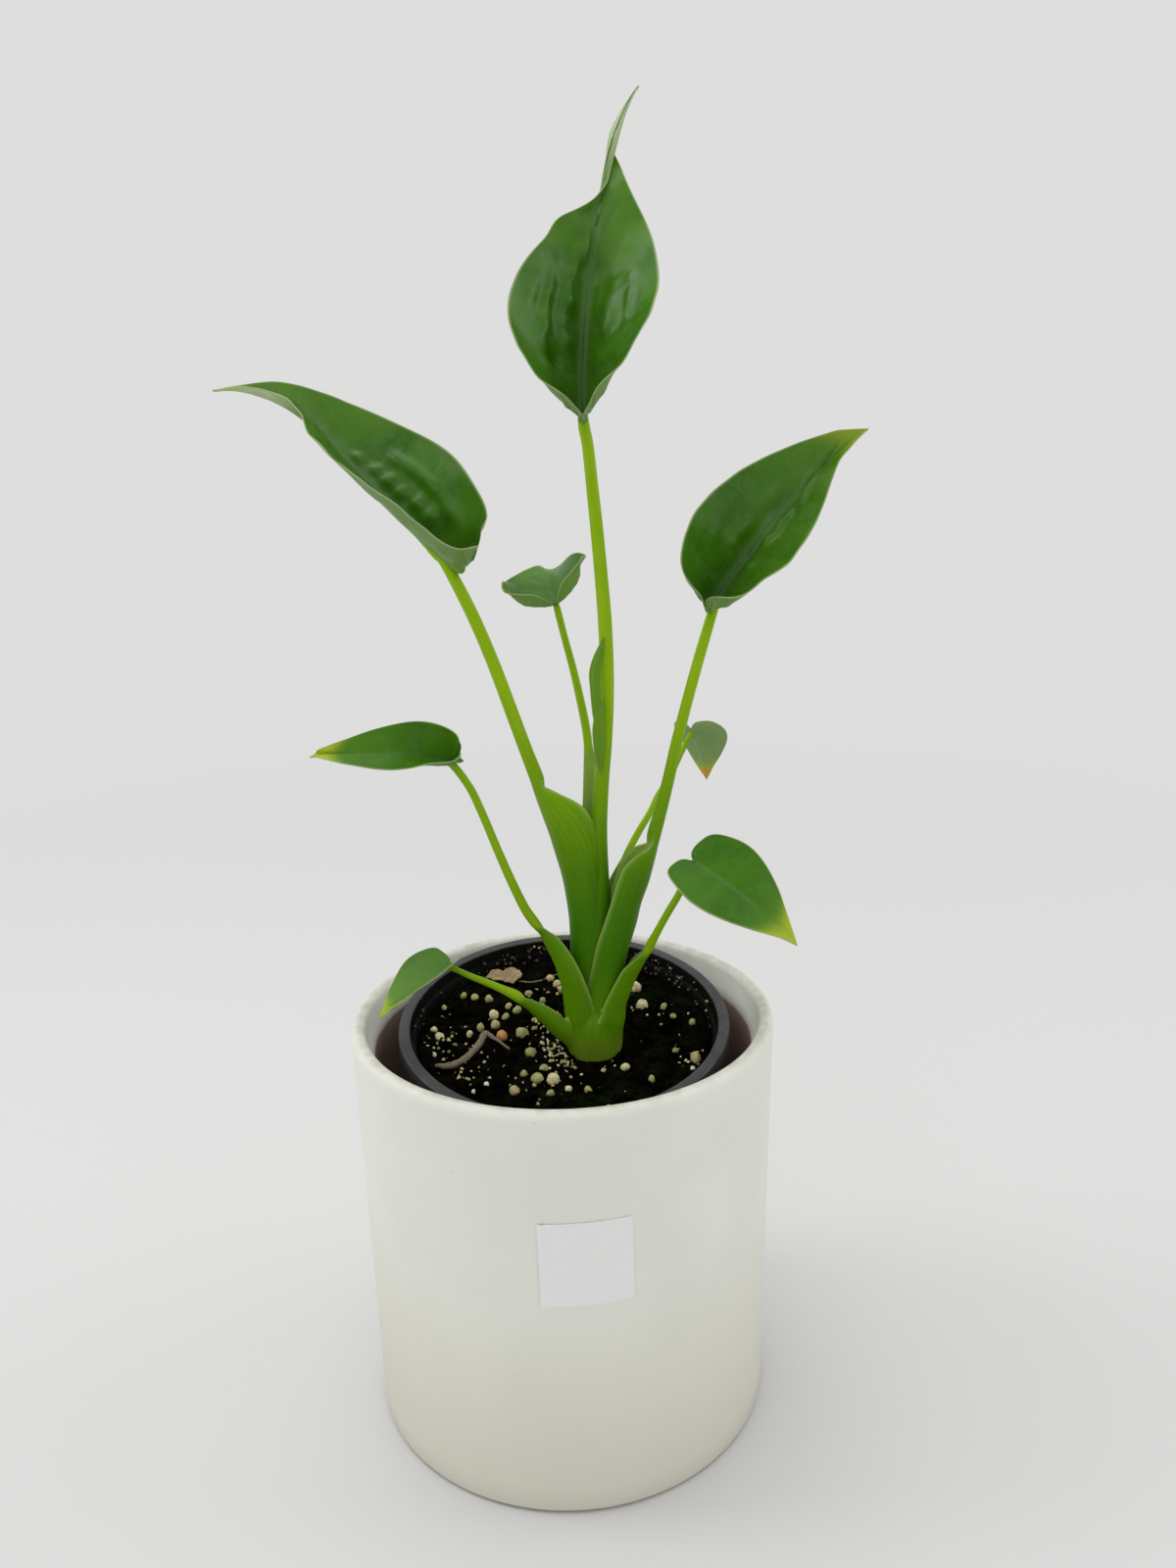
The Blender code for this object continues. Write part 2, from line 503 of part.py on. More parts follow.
def loft(loops):
    """Closed solid through loops that all have the same number of points."""
    verts = [p for loop in loops for p in loop]
    count = len(loops[0])
    faces = []
    for i in range(len(loops) - 1):
        for k in range(count):
            nxt = (k + 1) % count
            faces.append((i * count + k, i * count + nxt, (i + 1) * count + nxt, (i + 1) * count + k))
    faces.append(tuple(range(count - 1, -1, -1)))
    faces.append(tuple(range((len(loops) - 1) * count, len(loops) * count)))
    return verts, faces


def stalk_loops(key):
    heading = math.radians(STALKS[key][0])
    sections = list(STALKS[key][1:])
    foot = Vector(BLADES[key]["foot"])
    last = sections[-1]
    reach = foot - Vector(last[:3])
    end = Vector(last[:3]) + reach * (1.0 - STALK_END_GAP / reach.length)
    sections.append((end.x, end.y, end.z, last[3] * 0.92))
    back = Vector(SHEATH_BACK_DOWN.get(key, (math.cos(heading), math.sin(heading), 0.0)))
    loops = []
    for i, section in enumerate(sections):
        before = Vector(sections[max(i - 1, 0)][:3])
        after = Vector(sections[min(i + 1, len(sections) - 1)][:3])
        loops.append(section_loop(section, back, (after - before).normalized()))
    return loops


def build_stems(materials):
    place = Matrix.Translation((CROWN_XY[0], CROWN_XY[1], 0.0))
    verts, faces = revolve(CROWN_PROFILE, 28, place)
    ob = make_object("stems", verts, faces, materials["stalk"], place)
    for key in "abcdefgh":
        verts, faces = loft(stalk_loops(key))
        boolean(ob, make_object("stalk", verts, faces, None), "UNION")
    one_body(ob)
    shade(ob, 50.0)


def curve_through(points, count):
    """Evenly stepped points on a Catmull-Rom curve."""
    pts = np.asarray(points, float)
    pts = np.vstack([2 * pts[0] - pts[1], pts, 2 * pts[-1] - pts[-2]])
    step = np.linspace(0.0, len(pts) - 3, count)
    i = np.minimum(step.astype(int), len(pts) - 4)
    f = (step - i)[:, None]
    a, b, c, d = pts[i], pts[i + 1], pts[i + 2], pts[i + 3]
    return 0.5 * (2 * b + (c - a) * f + (2 * a - 5 * b + 4 * c - d) * f ** 2
                  + (3 * b - a - 3 * c + d) * f ** 3)


def blade_outline(leaf, count, side):
    """Edge of one half in the flat: distance along the midrib and out from it."""
    dx, dy, dh, _ = [side * v for v in leaf["uneven"]]
    lobe = leaf["lobe"][0]
    far, low = leaf["shoulder"][0] + dx, leaf["shoulder"][1] + dy
    wide = leaf["widest"]
    points = ((0.0, 0.0), (-0.75 * lobe, 0.10), (-lobe, 0.36), (-0.45 * lobe, 0.78), (wide, 1.0),
              (0.5 * (wide + far) + 0.02, leaf["waist"] + dh), (far, low),
              (0.5 * (far + 1.0), 0.5 * low), (1.0, 0.0))
    edge = curve_through(points, count)
    return edge * np.array([leaf["length"], leaf["half_width"]])


def smooth_step(t):
    t = np.clip(t, 0.0, 1.0)
    return t * t * (3.0 - 2.0 * t)


def blade_spine(leaf):
    """Points and frames along the midrib: ahead, out of the face."""
    heading, rise = math.radians(leaf["heading"]), math.radians(leaf["rise"])
    ahead = Vector((math.cos(rise) * math.cos(heading), math.cos(rise) * math.sin(heading),
                    math.sin(rise)))
    face = Vector((-math.sin(rise) * math.cos(heading), -math.sin(rise) * math.sin(heading),
                   math.cos(rise)))
    face = Matrix.Rotation(math.radians(leaf["roll"]), 3, ahead) @ face
    amount, start, span = leaf["tip_twist"]
    spot = Vector(leaf["foot"])
    out = [(spot.copy(), ahead.copy(), face.copy())]

    def twist(q):
        return leaf["twist"] * min(q / 0.6, 1.0) + amount * float(smooth_step((q - start) / span))

    for i in range(SPINE_STEPS):
        q = (i + 0.5) / SPINE_STEPS
        late = 4.0 * max(q - 0.5, 0.0)
        up = (leaf["bend"][0] if q < 0.5 else leaf["bend"][1] * late) * 2.0 / SPINE_STEPS
        off = (leaf["sway"][0] if q < 0.5 else leaf["sway"][1] * late) * 2.0 / SPINE_STEPS
        turn = twist((i + 1) / SPINE_STEPS) - twist(i / SPINE_STEPS)
        bend = Matrix.Rotation(math.radians(up), 3, ahead.cross(face))
        new, face = bend @ ahead, bend @ face
        new = Matrix.Rotation(math.radians(off), 3, face) @ new
        face = Matrix.Rotation(math.radians(turn), 3, new) @ face
        spot = spot + (ahead + new) * (0.5 * leaf["length"] / SPINE_STEPS)
        ahead = new
        out.append((spot.copy(), ahead.copy(), face.copy()))
    return [np.array([[v.x, v.y, v.z] for v in col]) for col in zip(*out)]


def blade_half(leaf, side):
    """Grid of points of one half: rows follow the ribs, from the midrib to the edge."""
    rows, cols = leaf["rows"], leaf["cols"]
    length = leaf["length"]
    spots, aheads, faces = blade_spine(leaf)
    edge = blade_outline(leaf, rows, side)
    even = blade_outline(leaf, rows, 0.0)
    u = np.linspace(0.0, 1.0, rows)
    root = length * np.clip((u - ROOT_START) / (1.0 - ROOT_START), 0.0, 1.0)
    root = np.minimum(root, np.maximum(even[:, 0], 0.0))
    root[-1] = length
    f = root / length * SPINE_STEPS
    i = np.minimum(f.astype(int), SPINE_STEPS - 1)
    f = (f - i)[:, None]
    spot = spots[i] * (1 - f) + spots[i + 1] * f
    ahead = aheads[i] * (1 - f) + aheads[i + 1] * f
    face = faces[i] * (1 - f) + faces[i + 1] * f
    right = np.cross(ahead, face)
    q = root / length
    rib = edge - np.stack([root, np.zeros(rows)], axis=1)
    reach = np.hypot(rib[:, 0], rib[:, 1])
    angle = np.arctan2(rib[:, 1], rib[:, 0])
    fold = np.interp(q, (0.0, 0.5, 1.0), leaf["fold"]) + side * leaf["uneven"][3] * (1.0 - q)
    lobed = smooth_step((np.degrees(angle) - 50.0) / 130.0)
    curl = np.interp(q, (0.0, 0.5), leaf["curl"]) * (1.0 - 0.7 * lobed)
    rise = np.radians(fold * np.sin(angle) + leaf["lobe"][1] * lobed)[:, None]
    rate = np.radians(curl) / leaf["half_width"]
    rate = np.where(np.abs(rate) < 1e-6, 1e-6, rate)[:, None]
    out = np.linspace(0.0, 1.0, cols)[None, :] * reach[:, None]
    flat = (np.sin(rise + rate * out) - np.sin(rise)) / rate
    high = (np.cos(rise) - np.cos(rise + rate * out)) / rate
    way = ahead * np.cos(angle)[:, None] + side * right * np.sin(angle)[:, None]
    grid = spot[:, None] + way[:, None] * flat[..., None] + face[:, None] * high[..., None]
    return grid, root


def blade_sheet(leaf):
    """Middle surface of a blade: points, triangles and the loop round its edge."""
    points = []
    tris = []
    rims = []
    shared = {}
    for side in (1, -1):
        grid, root = blade_half(leaf, side)
        rows, cols = grid.shape[:2]
        ids = np.zeros((rows, cols), int)
        for i in range(rows):
            for j in range(cols):
                if i == 0 or (j == 0 and root[i] <= 0.0):
                    key = 0.0
                elif i == rows - 1:
                    key = 1.0
                else:
                    key = root[i] if j == 0 else None
                if key in shared:
                    ids[i, j] = shared[key]
                    continue
                ids[i, j] = len(points)
                points.append(grid[i, j])
                if key is not None:
                    shared[key] = ids[i, j]
        for i in range(rows - 1):
            for j in range(cols - 1):
                a, b, c, d = ids[i, j], ids[i + 1, j], ids[i + 1, j + 1], ids[i, j + 1]
                for tri in ((a, b, c), (a, c, d)):
                    if len(set(tri)) == 3:
                        tris.append(tri if side == 1 else tri[::-1])
        rims.append([ids[i, -1] for i in range(1, rows)])
    loop = [shared[0.0]] + rims[0] + rims[1][-2::-1]
    return np.array(points), tris, loop


def thicken(points, tris, loop, thick):
    """Closed plate of even thickness round a sheet of triangles."""
    normals = np.zeros_like(points)
    for a, b, c in tris:
        normal = np.cross(points[b] - points[a], points[c] - points[a])
        for k in (a, b, c):
            normals[k] += normal
    normals /= np.linalg.norm(normals, axis=1)[:, None]
    count = len(points)
    verts = np.vstack([points + normals * thick * 0.5, points - normals * thick * 0.5])
    faces = [tuple(int(k) for k in t) for t in tris]
    faces += [tuple(int(k) + count for k in t[::-1]) for t in tris]
    for a, b in zip(loop, loop[1:] + loop[:1]):
        faces.append((int(a), int(a) + count, int(b)))
        faces.append((int(b), int(a) + count, int(b) + count))
    return verts, faces


def build_blades(materials):
    for key, leaf in BLADES.items():
        points, tris, loop = blade_sheet(leaf)
        verts, faces = thicken(points, tris, loop, BLADE_T)
        ob = make_object("blade_" + key, verts, faces, materials["leaf"],
                         Matrix.Translation(leaf["foot"]))
        shade(ob, 60.0)


def build_new_leaf(materials):
    loops = []
    for i, (x, y, z, half) in enumerate(NEW_LEAF):
        before = Vector(NEW_LEAF[max(i - 1, 0)][:3])
        after = Vector(NEW_LEAF[min(i + 1, len(NEW_LEAF) - 1)][:3])
        along = (after - before).normalized()
        side = along.cross(Vector((0.0, -1.0, 0.0))).normalized()
        front = side.cross(along)
        loop = []
        for k in range(NEW_LEAF_POINTS):
            turn = 2.0 * math.pi * k / NEW_LEAF_POINTS
            loop.append(Vector((x, y, z)) + side * (half * math.cos(turn))
                        + front * (half * NEW_LEAF_DEPTH * math.sin(turn)))
        loops.append(loop)
    verts, faces = loft(loops)
    ob = make_object("new_leaf", verts, faces, materials["young_leaf"],
                     Matrix.Translation(NEW_LEAF[0][:3]))
    shade(ob, 60.0)


def build_label(materials):
    cols, rows = 13, 3
    lean = math.radians(LABEL_LEAN)
    middle = math.radians(LABEL_TURN - 90.0)
    points = []
    for j in range(rows):
        for i in range(cols):
            s = LABEL_W * (i / (cols - 1) - 0.5)
            t = LABEL_H * (j / (rows - 1) - 0.5)
            across = s * math.cos(lean) - t * math.sin(lean)
            height = LABEL_Z + s * math.sin(lean) + t * math.cos(lean)
            radius = cover_radius(height) + LABEL_OFF + 0.5 * LABEL_T
            turn = middle + across / radius
            points.append((radius * math.cos(turn), radius * math.sin(turn), height))
    tris = []
    for j in range(rows - 1):
        for i in range(cols - 1):
            a = j * cols + i
            tris += [(a, a + 1, a + cols + 1), (a, a + cols + 1, a + cols)]
    loop = list(range(cols)) + [cols * (j + 1) - 1 for j in range(1, rows)]
    loop += [cols * (rows - 1) + i for i in range(cols - 2, -1, -1)]
    loop += [cols * j for j in range(rows - 2, 0, -1)]
    verts, faces = thicken(np.array(points), tris, loop, LABEL_T)
    ob = make_object("label", verts, faces, materials["paper"])
    shade(ob, 60.0)


def build_twig(materials, frame):
    spots = [frame @ Vector((x, y, SOIL_TOP + up)) for x, y, up, _ in TWIG]
    up = (frame.to_3x3() @ Vector((0.0, 0.0, 1.0))).normalized()
    loops = []
    for i, spot in enumerate(spots):
        along = (spots[min(i + 1, len(spots) - 1)] - spots[max(i - 1, 0)]).normalized()
        side = along.cross(up).normalized()
        front = side.cross(along)
        radius = TWIG[i][3]
        loop = []
        for k in range(7):
            turn = 2.0 * math.pi * k / 7
            loop.append(spot + (side * math.cos(turn) + front * math.sin(turn)) * radius)
        loops.append(loop)
    verts, faces = loft(loops)
    ob = make_object("dry_twig", verts, faces, materials["twig"], frame)
    shade(ob, 60.0)


def build_scrap(materials, frame):
    middle = np.mean(np.array(SCRAP), axis=0)
    points = [frame @ Vector((middle[0], middle[1], SOIL_TOP + SCRAP_LIFT))]
    for k, (x, y) in enumerate(SCRAP):
        lift = SCRAP_LIFT + (0.9 if k % 2 else 0.2)
        points.append(frame @ Vector((x, y, SOIL_TOP + lift)))
    count = len(SCRAP)
    tris = [(0, (k + 1) % count + 1, k + 1) for k in range(count)]
    loop = list(range(count, 0, -1))
    verts, faces = thicken(np.array([tuple(p) for p in points]), tris, loop, SCRAP_T)
    ob = make_object("dry_leaf", verts, faces, materials["dry_leaf"], frame)
    shade(ob, 60.0)


def main():
    clear_scene()
    materials = {name: make_material(name) for name in COLOURS}
    frame = nursery_frame()
    build_cover_pot(materials)
    build_nursery_pot(materials, frame)
    build_soil(materials, frame)
    build_stems(materials)
    build_blades(materials)
    build_new_leaf(materials)
    build_label(materials)
    build_twig(materials, frame)
    build_scrap(materials, frame)


main()
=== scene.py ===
import math

import bmesh
import bpy
import numpy as np
from mathutils import Matrix, Vector, noise
from mathutils.kdtree import KDTree


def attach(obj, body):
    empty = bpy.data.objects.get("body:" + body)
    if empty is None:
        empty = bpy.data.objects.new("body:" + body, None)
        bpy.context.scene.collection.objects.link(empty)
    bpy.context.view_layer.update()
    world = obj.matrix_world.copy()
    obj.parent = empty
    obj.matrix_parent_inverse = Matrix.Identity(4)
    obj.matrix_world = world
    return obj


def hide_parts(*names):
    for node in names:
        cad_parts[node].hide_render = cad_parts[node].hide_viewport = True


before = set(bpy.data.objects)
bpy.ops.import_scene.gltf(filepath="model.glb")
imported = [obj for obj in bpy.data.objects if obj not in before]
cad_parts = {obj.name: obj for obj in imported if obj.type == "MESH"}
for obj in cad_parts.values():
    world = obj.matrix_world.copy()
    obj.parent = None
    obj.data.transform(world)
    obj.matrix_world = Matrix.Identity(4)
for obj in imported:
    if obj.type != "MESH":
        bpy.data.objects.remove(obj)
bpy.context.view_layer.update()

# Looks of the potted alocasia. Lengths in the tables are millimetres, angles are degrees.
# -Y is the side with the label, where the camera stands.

MM = 0.001
BODY = "root"

# Camera, with its three angles in radians
CAMERA_PLACE = (0.0, -339.7, 286.4)
CAMERA_DOWN = 0.2572
CAMERA_TURN = 0.0273
CAMERA_ROLL = -0.0226
CAMERA_FOCAL_PX = 1235.0
PICTURE_TALL_PX = 1600.0
SENSOR_MM = 36.0

# Stage
BACKDROP_TONE = (0.73, 0.73, 0.727)
FLOOR_TONE = (0.66, 0.66, 0.657)
FLOOR_REACH = 8000.0
# Soft lights: place and size in metres, and watts. All of them look at one point.
LIGHT_AIM = (0.0, 0.0, 0.15)
LIGHTS = {"left": ((-0.95, 0.1, 0.9), (0.45, 0.6), 2.7),
          "right": ((1.05, 0.15, 0.75), (0.8, 0.8), 2.6),
          "top": ((-0.2, 0.15, 1.3), (0.9, 0.7), 4.0),
          "front": ((-0.3, -1.1, 0.75), (1.1, 0.8), 1.4)}

# Cover pot
COVER_OUTER = (
    (0.0, 0.0), (57.6, 0.0), (59.6, 0.1), (60.7, 0.5), (61.3, 1.6), (61.45, 8.0), (62.4, 65.0),
    (63.4, 120.0), (63.52, 123.6), (63.5, 124.9), (63.2, 125.9), (62.6, 126.6), (61.8, 126.95),
    (60.9, 127.0), (60.1, 126.7), (59.5, 126.0), (59.2, 124.8), (58.8, 122.4), (57.9, 120.0),
    (57.1, 118.3), (56.8, 112.0), (56.6, 105.0),
)
FLOOR_Z = 6.0
CORNER_R = 21.5
CORNER_STEPS = 12
WALL_R_IN = 56.6
GLAZE_END_Z = 118.0
COVER_SEGMENTS = 160

# Nursery pot, in its own upright frame
NURSERY_H = 113.0
NURSERY_TILT = 8.0
NURSERY_RIM_CENTRE = (0.4, 0.9, 123.4)
NURSERY_PROFILE = (
    (0.0, 1.2), (30.0, 1.2), (31.0, 0.0), (36.0, 0.0), (37.0, 0.9), (41.8, 53.6), (46.6, 106.3),
    (46.9, 106.35), (49.7, 106.35), (50.2, 106.6), (50.4, 107.1), (50.4, 112.0), (50.25, 112.6),
    (49.8, 112.95), (49.2, 113.0), (47.6, 113.0), (47.1, 112.85), (46.8, 112.4), (46.5, 109.7),
    (46.3, 109.3), (45.8, 109.0), (45.5, 108.6), (44.9, 104.0), (40.4, 54.0), (35.8, 3.4),
    (34.6, 2.4), (0.0, 2.4),
)
WALL_FROM = 17                  # points of the profile from here on lie inside, by the soil
DRAIN_HOLES = 4
DRAIN_RING_R = 22.0
DRAIN_R = 4.0
DRAIN_CUT = (-2.0, 5.0)         # each cut reaches from the first height to the second
DRAIN_SEGMENTS = 32
NURSERY_SEGMENTS = 120

# Soil, in the nursery pot's frame
SOIL_TOP = 105.6
SOIL_R = 44.5
SOIL_BOTTOM = 2.7
SOIL_BELOW = ((44.4, 103.6), (35.4, 3.7), (34.4, SOIL_BOTTOM))  # radius and height of its sides
SOIL_GRID = (88, 260)
SOIL_WAVES = ((0.55, 9.0), (0.5, 3.4), (0.35, 1.5))  # height and size of its roughness
SOIL_RISE = (0.5, 36.0, 44.0)   # rise at the wall, and from which radius to which it builds up
CROWN_XY = (9.5, -1.5)
CROWN_PROFILE = (
    (0.0, 100.6), (3.5, 100.8), (6.5, 102.4), (8.4, 106.0), (8.9, 111.0), (9.0, 117.0),
    (8.8, 121.0), (7.9, 125.0), (6.0, 128.5), (3.0, 130.5), (0.0, 131.0),
)
CROWN_AT_SOIL = (9.1, -2.4)     # the crown's middle in the soil's plane
CROWN_CLEAR = 9.2
CROWN_DIP = 1.0                 # how far the soil sinks round the crown

# Prills and stones: place in the soil's plane (right, back), radius and kind.
BROWN, TAN, OLIVE, ORANGE, CREAM, WHITE = PRILL_KINDS = (0.0, 0.1, 0.3, 0.5, 0.7, 0.9)
PRILL_COLOURS = ((0.065, 0.04, 0.022), (0.50, 0.39, 0.17), (0.36, 0.37, 0.12), (0.60, 0.27, 0.07),
                 (0.74, 0.65, 0.36), (0.82, 0.80, 0.72))
PRILLS = (
    (-13.1, 1.7, 2.2, OLIVE), (-10.4, -9.0, 2.0, OLIVE), (-19.4, 0.6, 1.8, ORANGE),
    (-15.0, 14.9, 1.6, OLIVE), (-21.6, 6.8, 1.8, TAN), (-22.4, 12.6, 1.9, CREAM),
    (-24.2, 21.5, 1.6, OLIVE), (-28.8, 22.4, 1.4, OLIVE), (-17.6, 17.4, 1.3, TAN),
    (-6.8, 20.0, 1.2, OLIVE), (-11.4, 24.8, 1.3, TAN), (-4.4, 33.0, 1.5, TAN),
    (-2.0, 29.6, 1.5, CREAM), (-6.4, 13.0, 1.2, TAN), (-9.4, 8.6, 1.1, OLIVE),
    (-26.2, 5.6, 1.5, TAN), (-29.4, 2.2, 1.2, CREAM), (-32.6, 24.4, 1.2, OLIVE),
    (-6.4, -16.6, 1.4, OLIVE), (-8.4, -22.0, 1.9, OLIVE), (-3.8, -22.6, 2.0, CREAM),
    (-12.4, -18.6, 1.2, OLIVE), (-4.6, -28.6, 1.2, OLIVE), (-15.0, -26.6, 1.7, TAN),
    (6.2, -27.8, 1.2, OLIVE), (0.6, -26.6, 1.1, CREAM), (23.2, 25.4, 2.3, CREAM),
    (25.0, 14.9, 2.1, CREAM), (32.0, 14.2, 1.3, OLIVE), (34.4, 8.4, 1.1, OLIVE),
    (40.0, 5.0, 1.2, OLIVE), (38.8, -14.2, 2.1, TAN), (37.4, -19.0, 0.8, WHITE),
    (33.2, -9.8, 1.1, OLIVE), (24.9, -23.8, 1.2, OLIVE), (-40.6, 5.2, 1.3, CREAM),
    (-38.6, 1.6, 1.4, CREAM), (-39.6, -7.4, 0.9, WHITE), (-23.2, -23.0, 0.8, WHITE),
    (-26.6, -26.4, 0.8, WHITE), (-38.4, 17.6, 1.1, TAN), (17.6, -17.4, 1.3, CREAM),
    (11.2, -18.8, 1.1, OLIVE), (-0.8, 26.0, 1.3, TAN), (-18.6, 11.8, 1.3, OLIVE),
)
# Patches of pale crumbs: place, spread, how many.
CRUMB_PATCHES = (
    (-6.5, 5.0, 2.4, 26), (-4.8, -3.0, 2.4, 34), (-2.2, -10.0, 2.6, 34), (0.5, -14.0, 2.2, 18),
    (-39.0, 1.0, 4.0, 34), (-33.0, -10.0, 5.0, 16), (-8.0, 22.0, 8.0, 22),
    (-2.6, -6.5, 1.6, 26), (1.4, -13.6, 1.2, 10), (-31.0, -17.4, 3.0, 16),
    (30.0, 10.0, 8.0, 14), (38.0, -15.0, 3.0, 18), (-6.0, -22.0, 6.0, 26), (0.0, 0.0, 26.0, 60),
)
CRUMB_SEED = 21
DARK_CRUMBS = 2200
DARK_REACH = 43.5               # largest distance of a dark crumb's middle from the pot's axis
DARK_END = 44.2                 # and of its far side
PALE_END = 43.5
LARGE_CRUMB = 0.7               # radius from which a crumb counts as a prill
GRAIN_STRETCH = (0.75, 1.1)     # size of a grain along each axis, as part of its radius
PATCH_RADII = (0.18, 0.62)
PATCH_KINDS = {CREAM: 0.5, WHITE: 0.08, TAN: 0.17, OLIVE: 0.25}
DIRT_RADII = (0.2, 0.65)
DIRT_KINDS = {BROWN: 0.9, TAN: 0.1}
DIRT_HEIGHTS = (105.5, 111.5)

# Dirt on the inner wall of the nursery pot: from and to which heading, how many grains.
WALL_DIRT = ((20.0, 80.0, 46), (95.0, 130.0, 26), (0.0, 180.0, 30))
# Fine root from the scrap of leaf along the soil.
ROOT_THREAD = ((-14.5, 31.5, 0.9, 0.24), (-11.0, 30.5, 1.0, 0.24), (-7.0, 31.5, 1.0, 0.26),
               (-3.5, 34.0, 1.0, 0.24), (-1.0, 35.5, 0.7, 0.2))

# Label
LABEL_GRID = 60
LABEL_W = 25.6
LABEL_H = 25.5
LABEL_Z = 82.3
LABEL_TURN = 4.0
LABEL_LEAN = 1.0
LABEL_T = 0.16
LABEL_OFF = 0.12

# Dry twig and dry scrap of leaf, in the soil's plane
TWIG = (
    (-38.6, -14.4, 1.2, 0.55), (-34.0, -14.8, 1.5, 0.95), (-29.2, -11.2, 1.9, 0.95),
    (-26.0, -5.4, 2.2, 1.0), (-24.4, -1.2, 2.9, 0.95), (-21.6, -2.8, 2.4, 0.5),
    (-16.8, -7.8, 1.7, 0.3),
)
SCRAP = ((-26.0, 34.4), (-22.4, 37.2), (-17.6, 38.0), (-14.2, 35.6), (-14.0, 31.8),
         (-18.2, 29.8), (-22.8, 31.4))
SCRAP_LIFT = 0.9
SCRAP_RINGS = 14
SCRAP_T = 0.3

